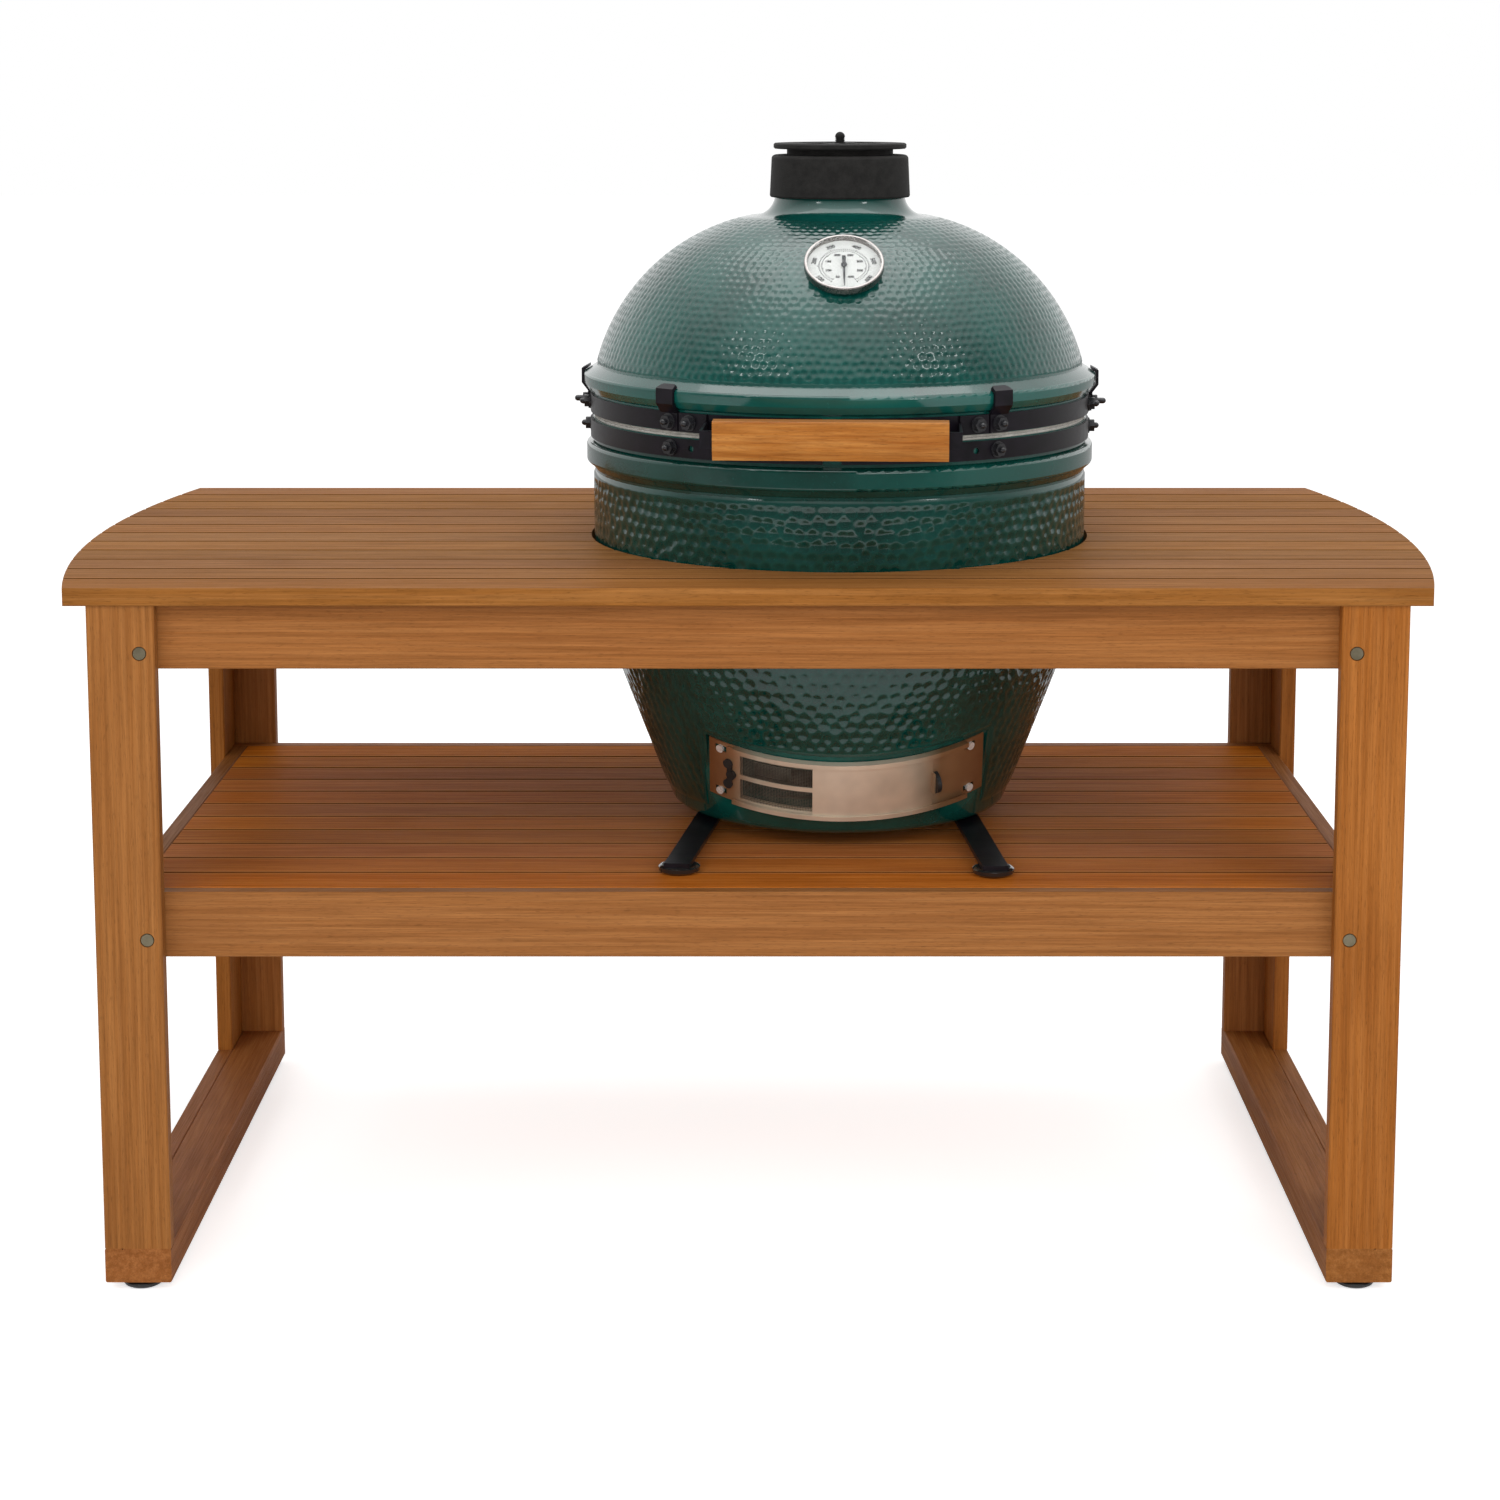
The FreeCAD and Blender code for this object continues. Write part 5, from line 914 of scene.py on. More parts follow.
@dataclass
class DimpleField:
    """Rows of staggered round hollows on a turned surface; sizes in millimetres.

    Attributes:
        pitch: distance between neighbouring hollows.
        start: length along the profile where the first row lies.
        end: length along the profile where the rows end.
        radius_at: gives the surface's radius at lengths along the profile.
        seed: what the hollows' unevenness follows.
        size: a hollow's width in pitches.
        wander: how far a hollow strays, in pitches.
        rim: how steeply it rises at its rim.
    """

    pitch: float
    start: float
    end: float
    radius_at: Callable[[np.ndarray], np.ndarray]
    seed: int = 5
    size: float = 1.04
    wander: float = 0.085
    rim: float = 1.5

    def __post_init__(self) -> None:
        """Place the hollows."""
        self.step = self.pitch * 0.866
        self.rows = int((self.end - self.start) / self.step) + 1
        heights = self.start + self.step * np.arange(self.rows)
        self.counts = np.maximum(np.round(math.tau * self.radius_at(heights) / self.pitch), 6).astype(int)
        luck = np.random.default_rng(self.seed)
        most = self.counts.max()
        self.offset = (np.arange(self.rows) % 2) * 0.5 + luck.uniform(-0.08, 0.08, self.rows)
        self.aside = luck.normal(0, self.wander, (self.rows, most))
        self.above = luck.normal(0, self.wander, (self.rows, most))
        self.spread = luck.uniform(0.90, 1.06, (self.rows, most))
        self.depth = luck.uniform(0.78, 1.0, (self.rows, most))

    def at(self, length: np.ndarray, turn: np.ndarray, radius: np.ndarray) -> np.ndarray:
        """Say how deep each place is, from 0 to 1.

        Args:
            length: distance along the profile.
            turn: angle about the axis.
            radius: distance from the axis.

        Returns:
            The share of the full depth.
        """
        deepest = np.zeros_like(length)
        near_row = np.round((length - self.start) / self.step).astype(int)
        for row_step in (-1, 0, 1):
            row = near_row + row_step
            inside = (row >= 0) & (row < self.rows)
            row = np.clip(row, 0, self.rows - 1)
            count = self.counts[row]
            place = turn / math.tau * count - self.offset[row]
            near = np.round(place).astype(int)
            for step in (-1, 0, 1):
                number = near + step
                which = np.mod(number, count)
                across = (place - number - self.aside[row, which]) * math.tau * radius / count
                along = length - self.start - row * self.step - self.above[row, which] * self.pitch
                half = self.pitch / 2 * self.size * self.spread[row, which]
                far = np.clip((across ** 2 + along ** 2) / half ** 2, 0, 1)
                deep = self.depth[row, which] * (1 - far) ** self.rim
                deepest = np.maximum(deepest, np.where(inside, deep, 0))
        return deepest


class ShellGrid:
    """A closed skin: a fine outer grid round an axis, a coarse inner one and walls between them."""

    def __init__(self, parts: MeshParts, outer: list[np.ndarray], inner: list[np.ndarray]) -> None:
        """Build the skin from rows of points, lowest row first.

        Args:
            parts: what gathers the mesh.
            outer: rows of points; a row may have half as many as the one below it.
            inner: rows of points, all with as many as divide every outer row's number.
        """
        self.parts = parts
        fine = [self._row(row) for row in outer]
        coarse = [self._row(row) for row in inner]
        for low, high in zip(fine, fine[1:]):
            self._band(low, high, True)
        for low, high in zip(coarse, coarse[1:]):
            self._band(low, high, False)
        self._band(fine[0], coarse[0], False)
        self._band(fine[-1], coarse[-1], True)

    def _row(self, points: np.ndarray) -> list[int]:
        """Add a row of points and list their indices."""
        first = self.parts.add_points(points)
        return list(range(first, first + len(points)))

    def _band(self, low: list[int], high: list[int], outwards: bool) -> None:
        """Join a row with the one above it, or a fine row with a coarse one.

        Args:
            low: the row with more points, or as many.
            high: the other row.
            outwards: whether the faces look away from the axis, or up.
        """
        step = len(low) // len(high)
        for k in range(len(high)):
            after = (k + 1) % len(high)
            lower = [low[(k * step + i) % len(low)] for i in range(step + 1)]
            face = [*lower, high[after], high[k]]
            self.parts.faces.append(tuple(face if outwards else reversed(face)))


# Sub-assemblies of the grill


@dataclass
class GrillFrame:
    """Where the grill stands in the row frame."""

    middle_x: float = 109.0
    middle_y: float = 10.0
    foot_z: float = 495.0

    def points(self, radius: np.ndarray, turn: np.ndarray, height: np.ndarray) -> np.ndarray:
        """Turn places in the grill's own frame into places in the row frame.

        Args:
            radius: distance from the grill's axis, in millimetres.
            turn: angle right of the front.
            height: height over the grill's foot, in millimetres.

        Returns:
            An array with three numbers for each place, in metres.
        """
        x = self.middle_x + radius * np.sin(turn)
        y = self.middle_y - radius * np.cos(turn)
        z = self.foot_z + height + 0 * turn
        return np.stack(np.broadcast_arrays(x, y, z), axis=-1) * MM


@dataclass
class DoorCylinder:
    """The tilted cylinder that the draft door lies on, in the grill's own millimetres."""

    tilt: float = math.radians(20.9)
    radius: float = 243.19
    axis_height: float = 131.26

    def across(self, radius: np.ndarray, turn: np.ndarray,
               height: np.ndarray) -> tuple[np.ndarray, np.ndarray]:
        """Give the angle round the cylinder and the height along it of places on the grill.

        Args:
            radius: distance from the grill's axis.
            turn: angle right of the front.
            height: height in the grill.

        Returns:
            The angle in radians, and the height along the cylinder.
        """
        x = radius * np.sin(turn)
        y = -radius * np.cos(turn)
        z = height - self.axis_height
        along = -y * math.sin(self.tilt) + z * math.cos(self.tilt)
        out = -y * math.cos(self.tilt) - z * math.sin(self.tilt)
        return np.arctan2(x, out), along

    def points(self, grill: GrillFrame, radius: np.ndarray, turn: np.ndarray,
               along: np.ndarray) -> np.ndarray:
        """Give places in the row frame.

        Args:
            grill: where the grill stands.
            radius: distance from the cylinder's axis.
            turn: angle round it.
            along: height along it from the door's middle.

        Returns:
            An array with three numbers for each place, in metres.
        """
        sine, cosine = math.sin(self.tilt), math.cos(self.tilt)
        x = grill.middle_x + radius * np.sin(turn)
        y = grill.middle_y - (along * sine + radius * np.cos(turn) * cosine)
        z = grill.foot_z + self.axis_height - radius * np.cos(turn) * sine + along * cosine
        return np.stack(np.broadcast_arrays(x, y, z), axis=-1) * MM


@dataclass
class SubAssembly:
    """What every sub-assembly shares.

    Attributes:
        grill: where the grill stands.
        door: the cylinder that the draft door lies on.
        paint: the finishes.
    """

    grill: GrillFrame
    door: DoorCylinder
    paint: Paint


@dataclass
class CeramicBase(SubAssembly):
    """The dimpled glaze of the base, as a thin skin on the CAD surface; sizes in millimetres.

    Attributes:
        cone_foot: radius of the cone at the grill's foot.
        cone_slope: what its radius gains with each millimetre of height.
        cone_height: height where the cone meets the belly.
        belly_arc: radius of the belly's arc.
        belly_height: height of the belly's widest place.
        body_radius: radius there.
        low: the skin's lowest height.
        high: its highest.
        profile_end: height up to which the profile's length is worked out.
        level: the skin's level over the CAD surface.
        sunk: its level along its own edges.
        hollow: depth of the hollows.
        dimpled: heights of the first and the last row of hollows.
        column_share: how many outer columns go with one inner column.
        row_share: how many outer rows go with one inner row.
        seat_half: half the height of the door's seat.
        door_gap: how far the skin stays away from the seat.
        door_margin: how far from the seat it has its full level.
        front_half: how far round from the front the door matters.
        edge_slope: how steeply the lower edge may rise beside the door.
        edge_radius: the radius at which that slope is meant.
    """

    cone_foot: float = 210.2
    cone_slope: float = math.tan(math.radians(20.9))
    cone_height: float = 140.0
    belly_arc: float = 544.7
    belly_height: float = 334.3
    body_radius: float = 299.5
    low: float = 1.0
    high: float = 398.0
    profile_end: float = 420.0
    level: float = 1.8
    sunk: float = -0.6
    hollow: float = 1.65
    pitch: float = 15.2
    dimpled: tuple[float, float] = (14.0, 388.0)
    columns: int = 720
    rows: int = 130
    column_share: int = 6
    row_share: int = 10
    inner_depth: float = 4.0
    seat_left: float = math.radians(-40.5)
    seat_right: float = math.radians(44.0)
    seat_half: float = 41.0
    door_gap: float = 2.0
    door_margin: float = 9.0
    front_half: float = 1.2
    edge_slope: float = 3.0
    edge_radius: float = 240.0

    def radius_at(self, height: np.ndarray) -> np.ndarray:
        """Give the CAD surface's radius.

        Args:
            height: heights in the grill.

        Returns:
            The radius at each.
        """
        cone = self.cone_foot + self.cone_slope * height
        below = np.clip(self.belly_height - height, 0, None)
        belly = self.body_radius - self.belly_arc + np.sqrt(self.belly_arc ** 2 - below ** 2)
        return np.where(height < self.cone_height, cone, belly)

    def door_distance(self, turn: np.ndarray, height: np.ndarray) -> np.ndarray:
        """Say how far places on the surface lie outside the door's seat.

        Args:
            turn: angle right of the front.
            height: height in the grill.

        Returns:
            The distance, negative inside the seat and far away from the front.
        """
        angle, along = self.door.across(self.radius_at(height), turn, height)
        aside = np.maximum(self.seat_left - angle, angle - self.seat_right) * self.door.radius
        above = along - self.seat_half
        distance = np.where(aside > 0, np.hypot(aside, np.maximum(above, 0)), above)
        return np.where(off_front(turn) < self.front_half, distance, FAR)

    def lower_edge(self, turns: np.ndarray) -> np.ndarray:
        """Find the skin's lower edge, which passes over the door's seat.

        Args:
            turns: angles right of the front.

        Returns:
            The lowest height at each angle.
        """
        heights = np.arange(self.low, self.cone_height, 0.5)
        turn, height = np.meshgrid(turns, heights, indexing="ij")
        blocked = self.door_distance(turn, height) < self.door_gap
        last = np.where(blocked, height, self.low).max(axis=1)
        gap = off_front(turns[:, None] - turns[None, :]) * self.edge_radius
        return (last[None, :] - self.edge_slope * gap).max(axis=1).clip(self.low)

    def build(self) -> bpy.types.Object:
        """Build the skin.

        Returns:
            The piece.
        """
        table = np.arange(0, self.profile_end + 0.5, 0.5)
        slope = np.gradient(self.radius_at(table), table)
        lengths = np.concatenate([[0], np.cumsum(np.sqrt(1 + slope[1:] ** 2) * np.diff(table))])
        dimples = DimpleField(self.pitch, *np.interp(self.dimpled, table, lengths),
                              lambda length: self.radius_at(np.interp(length, lengths, table)),
                              size=0.94, wander=0.11, rim=1.2)
        outer = []
        for turns, height in self._rows(self.columns, self.rows):
            length = np.interp(height, table, lengths)
            below_top = np.interp(self.high, table, lengths) - length
            clear = self.door_distance(turns, height)
            lift = smooth_step(below_top, 0.5, 6) * smooth_step(height - self.low, 0, 12)
            lift = lift * smooth_step(clear, self.door_gap, self.door_margin)
            fade = smooth_step(below_top, 7, 16) * smooth_step(height, 6, 34)
            fade = fade * smooth_step(clear, self.door_margin - 2, self.door_margin + 6)
            radius = self.radius_at(height)
            deep = dimples.at(length, turns, radius)
            level = self.sunk + (self.level - self.sunk) * lift - self.hollow * deep * fade
            outer.append(self.grill.points(radius + level, turns, height))
        inner = [self.grill.points(self.radius_at(height) - self.inner_depth, turns, height)
                 for turns, height in self._rows(self.columns // self.column_share,
                                                 self.rows // self.row_share)]
        parts = MeshParts()
        ShellGrid(parts, outer, inner)
        piece = parts.make("base_glaze", Body.KAMADO, "green_ceramic")
        self.paint.coat(piece, "glaze")
        return piece

    def _rows(self, columns: int, count: int) -> list[tuple[np.ndarray, np.ndarray]]:
        """List rows from the lower edge to the top.

        Args:
            columns: how many places a row has.
            count: how many steps lie between the first row and the last.

        Returns:
            The angles and the heights of each row's places.
        """
        turns = np.arange(columns) * math.tau / columns
        edge = self.lower_edge(turns)
        return [(turns, edge + (self.high - edge) * step / count) for step in range(count + 1)]


@dataclass
class CeramicDome(SubAssembly):
    """The dimpled glaze of the dome, as a thin skin on the CAD surface; sizes in millimetres.

    Attributes:
        offset: distance of the arc's centre from the grill's axis.
        arc: radius of the dome's arc.
        arc_height: height of the arc's centre.
        start_angle: elevation where the skin begins.
        end_angle: elevation where it ends, at the vent.
        halving_radius: radius below which a row has half as many places.
        level: the skin's level over the CAD surface.
        sunk: its level along its own edges.
        hollow: depth of the hollows.
        dimple_inset: elevations between the skin's ends and the first and last row of hollows.
        start_ease: elevation in which the skin rises to its level at its start.
        end_ease: elevation in which it falls again at its end.
        dimple_ease: elevation before the end in which the hollows fade.
        gauge_angle: elevation of the thermometer.
        gauge_clear: distances from its axis between which the skin rises to its level.
    """

    offset: float = 61.2
    arc: float = 242.5
    arc_height: float = 466.1
    start_angle: float = math.radians(14.3)
    end_angle: float = math.radians(79.6)
    halving_radius: float = 190.0
    level: float = 1.2
    sunk: float = -0.6
    hollow: float = 1.0
    pitch: float = 10.4
    dimple_inset: tuple[float, float] = (0.022, 0.045)
    start_ease: float = 0.018
    end_ease: float = 0.03
    dimple_ease: float = 0.10
    columns: int = 800
    inner_columns: int = 100
    rows: int = 138
    inner_rows: int = 14
    inner_depth: float = 4.0
    gauge_angle: float = math.radians(50.5)
    gauge_clear: tuple[float, float] = (27.0, 36.0)

    def build(self) -> bpy.types.Object:
        """Build the skin.

        Returns:
            The piece.
        """
        after_start, before_end = self.dimple_inset
        dimples = DimpleField(self.pitch, self.arc * (self.start_angle + after_start),
                              self.arc * (self.end_angle - before_end),
                              lambda length: self.offset + self.arc * np.cos(length / self.arc),
                              seed=11, size=0.9, rim=1.35)
        outer = []
        for angle in self._angles(self.rows):
            radius = self.offset + self.arc * math.cos(angle)
            columns = self.columns if radius > self.halving_radius else self.columns // 2
            turns = np.arange(columns) * math.tau / columns
            to_end = self.end_angle - angle
            lift = smooth_step(angle - self.start_angle, 0, self.start_ease)
            lift = lift * smooth_step(to_end, 0, self.end_ease)
            lift = lift * smooth_step(self.gauge_distance(angle, turns), *self.gauge_clear)
            fade = smooth_step(to_end, self.end_ease, self.dimple_ease)
            deep = dimples.at(np.full(columns, self.arc * angle), turns, np.full(columns, radius))
            level = self.sunk + (self.level - self.sunk) * lift - self.hollow * deep * fade * lift
            outer.append(self._points(angle, level, turns))
        turns = np.arange(self.inner_columns) * math.tau / self.inner_columns
        inner = [self._points(angle, -self.inner_depth, turns) for angle in self._angles(self.inner_rows)]
        parts = MeshParts()
        ShellGrid(parts, outer, inner)
        piece = parts.make("dome_glaze", Body.LID, "green_ceramic")
        self.paint.coat(piece, "dome_glaze")
        return piece

    def gauge_distance(self, angle: float, turns: np.ndarray) -> np.ndarray:
        """Say how far places on the dome lie from the thermometer's axis.

        Args:
            angle: the places' elevation.
            turns: angles right of the front.

        Returns:
            The distance of each, and far behind the grill's axis.
        """
        reach = self.offset + self.arc * math.cos(angle)
        place = np.stack([reach * np.sin(turns), self.offset - reach * np.cos(turns),
                          np.full(len(turns), self.arc * math.sin(angle))], axis=1)
        axis = np.array([0, -math.cos(self.gauge_angle), math.sin(self.gauge_angle)])
        distance = np.linalg.norm(place - np.outer(place @ axis, axis), axis=1)
        return distance + np.where(np.cos(turns) < 0, FAR, 0)

    def _angles(self, count: int) -> list[float]:
        """List the elevations of rows with this many steps between the first and the last."""
        return [self.start_angle + (self.end_angle - self.start_angle) * step / count
                for step in range(count + 1)]

    def _points(self, angle: float, level: np.ndarray | float, turns: np.ndarray) -> np.ndarray:
        """Give places at a level over the dome's surface."""
        reach = self.arc + level
        return self.grill.points(self.offset + reach * math.cos(angle), turns,
                                 self.arc_height + reach * math.sin(angle))


@dataclass
class FeltGaskets(SubAssembly):
    """The two felt rings at the seam, slightly uneven at their edge; sizes in millimetres.

    Attributes:
        lower_low: lowest height of the lower ring.
        upper_low: lowest height of the upper ring.
        corner: radius of the rounded edges.
        corner_steps: how many points each has.
        unevenness: how far the edge comes and goes.
        uneven_within: how far from the edge the ring is uneven.
    """

    outer: float = 300.0
    width: float = 16.0
    thickness: float = 3.0
    lower_low: float = 461.0
    upper_low: float = 464.3
    corner: float = 0.9
    corner_steps: int = 4
    turns: int = 720
    unevenness: float = 0.35
    uneven_within: float = 3.0

    def build(self) -> list[bpy.types.Object]:
        """Build both rings.

        Returns:
            The two pieces.
        """
        pieces = []
        for name, node, body, low, seed in (("lower_felt", "lower_gasket", Body.KAMADO, self.lower_low, 3),
                                            ("upper_felt", "upper_gasket", Body.LID, self.upper_low, 4)):
            pieces.append(self._ring(name, body, low, seed))
            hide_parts(node)
            self.paint.coat(pieces[-1], "felt")
        return pieces

    def _section(self) -> list[tuple[float, float]]:
        """List the points round the section.

        Returns:
            The radius and the height of each, over the ring's lowest height.
        """
        far = self.outer - self.corner
        near = self.outer - self.width + self.corner
        top = self.thickness - self.corner
        points = []
        for quarter, (middle, height) in enumerate(((far, self.corner), (far, top), (near, top),
                                                    (near, self.corner))):
            for step in range(self.corner_steps):
                angle = math.radians(90 * (quarter - 1 + step / (self.corner_steps - 1)))
                points.append((middle + self.corner * math.cos(angle),
                               height + self.corner * math.sin(angle)))
        return points

    def _ring(self, name: str, body: Body, low: float, seed: int) -> bpy.types.Object:
        """Build one ring with rounded edges.

        Args:
            name: the piece's name.
            body: what it rides on.
            low: the ring's lowest height.
            seed: what its unevenness follows.

        Returns:
            The piece.
        """
        luck = np.random.default_rng(seed)
        turns = np.arange(self.turns) * math.tau / self.turns
        parts = MeshParts()
        rings = []
        for radius, height in self._section():
            uneven = radius > self.outer - self.uneven_within
            shrink = luck.uniform(0, self.unevenness, self.turns) if uneven else 0
            rings.append(parts.add_points(self.grill.points(radius - shrink, turns, low + height)))
        for ring, above in zip(rings, rings[1:] + rings[:1]):
            parts.band(ring, above, self.turns)
        return parts.make(name, body, "felt")


@dataclass
class LevellingGlides(SubAssembly):
    """The four levelling feet, which show below the foot rails' ends.

    Attributes:
        outwards: how much nearer to the table's front or rear they stand than their solids, in metres.
        profile: radius and height of the turned outline, in millimetres.
    """

    outwards: float = 20 * MM
    sides: int = 64
    profile: tuple[tuple[float, float], ...] = (
        (17.0, 0.0), (19.4, 0.5), (21.4, 1.7), (22.6, 3.4), (23.0, 5.0), (22.4, 6.4), (19.5, 7.4),
        (14.0, 8.9), (8.0, 10.0), (4.0, 10.0), (4.0, 36.0))

    def build(self) -> list[bpy.types.Object]:
        """Turn a foot for each corner.

        Returns:
            The four pieces.
        """
        pieces = []
        turns = np.arange(self.sides) * math.tau / self.sides
        for body in (Body.FOOT_FRONT_LEFT, Body.FOOT_FRONT_RIGHT, Body.FOOT_REAR_LEFT, Body.FOOT_REAR_RIGHT):
            node = body.value.replace("levelling_foot", "foot_pad")
            low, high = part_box(node)
            centre = (Vector(low) + Vector(high)) / 2
            across = centre.y + math.copysign(self.outwards, centre.y)
            parts = MeshParts()
            rings = [parts.add_points(np.stack([centre.x + radius * np.cos(turns),
                                                across + radius * np.sin(turns),
                                                np.full(self.sides, low[2] + height)], axis=1))
                     for radius, height in np.array(self.profile) * MM]
            for ring, above in zip(rings, rings[1:]):
                parts.band(ring, above, self.sides)
            parts.cap(rings[0], self.sides, True)
            parts.cap(rings[-1], self.sides)
            pieces.append(parts.make(body.value.replace("levelling_foot", "glide"), body, "glide_plastic"))
            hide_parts(node)
            self.paint.coat(pieces[-1], "glide")
        return pieces


@dataclass
class DraftScreen(SubAssembly):
    """The woven wire in the draft screen's two windows; sizes in millimetres.

    Attributes:
        centre: how far outside the door's cylinder the weave lies.
        start: angle of the windows' left ends.
        end: angle of their right ends.
        bar: half the width of the bar between the windows.
        top: height of the upper window's upper edge over the door's middle.
        pitch: about how far the wires lie apart.
        wire: their radius.
        samples: how many points a wire has for each one that it crosses.
    """

    centre: float = 4.6
    start: float = math.radians(-29.0)
    end: float = math.radians(0.5)
    bar: float = 3.0
    top: float = 30.6
    pitch: float = 1.9
    wire: float = 0.3
    sides: int = 5
    samples: int = 4

    def build(self) -> bpy.types.Object:
        """Weave both windows.

        Returns:
            The piece.
        """
        parts = MeshParts()
        radius = self.door.radius + self.centre
        columns = int((self.end - self.start) * radius / self.pitch)
        step = (self.end - self.start) / columns
        for low, high in ((-self.top, -self.bar), (self.bar, self.top)):
            rows = int((high - low) / self.pitch)
            rise = (high - low) / rows
            for column in range(1, columns):
                turn = self.start + column * step
                count = rows * self.samples + 1
                along = np.linspace(low, high, count)
                sway = self.wire * np.cos((along - low) / rise * math.pi + column * math.pi)
                self._wire(parts, radius + sway, np.full(count, turn), along)
            for row in range(1, rows):
                count = columns * self.samples + 1
                turn = np.linspace(self.start, self.end, count)
                sway = -self.wire * np.cos((turn - self.start) / step * math.pi + row * math.pi)
                self._wire(parts, radius + sway, turn, np.full(count, low + row * rise))
        piece = parts.make("screen_weave", Body.SCREEN, "mesh_steel")
        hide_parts("screen_mesh")
        self.paint.coat(piece, "wire")
        return piece

    def _wire(self, parts: MeshParts, radius: np.ndarray, turn: np.ndarray, along: np.ndarray) -> None:
        """Add one wire.

        Args:
            parts: what gathers the mesh.
            radius: distance of its points from the cylinder's axis.
            turn: their angles round it.
            along: their heights along it.
        """
        centre = self.door.points(self.grill, radius, turn, along)
        outwards = self.door.points(self.grill, radius + 1, turn, along) - centre
        parts.tube(centre, self.wire * MM, self.sides, outwards)


@dataclass(frozen=True)
class Scale:
    """A ring of ticks and numbers on the dial; sizes in millimetres.

    Attributes:
        name: the piece's name.
        ring: outer radius of the ticks.
        past: how far a long tick passes it.
        every: how many ticks it is from one long tick to the next.
        long: length of a long tick.
        short: length of the others.
        figures: the numbers in order.
        reach: how far from the top the first and the last number stand, in radians.
        figure_ring: radius of the numbers' middles.
        height: their height.
        follow: whether they turn with the ring.
    """

    name: str
    ring: float
    past: float
    every: int
    long: float
    short: float
    figures: range
    reach: float
    figure_ring: float
    height: float
    follow: bool


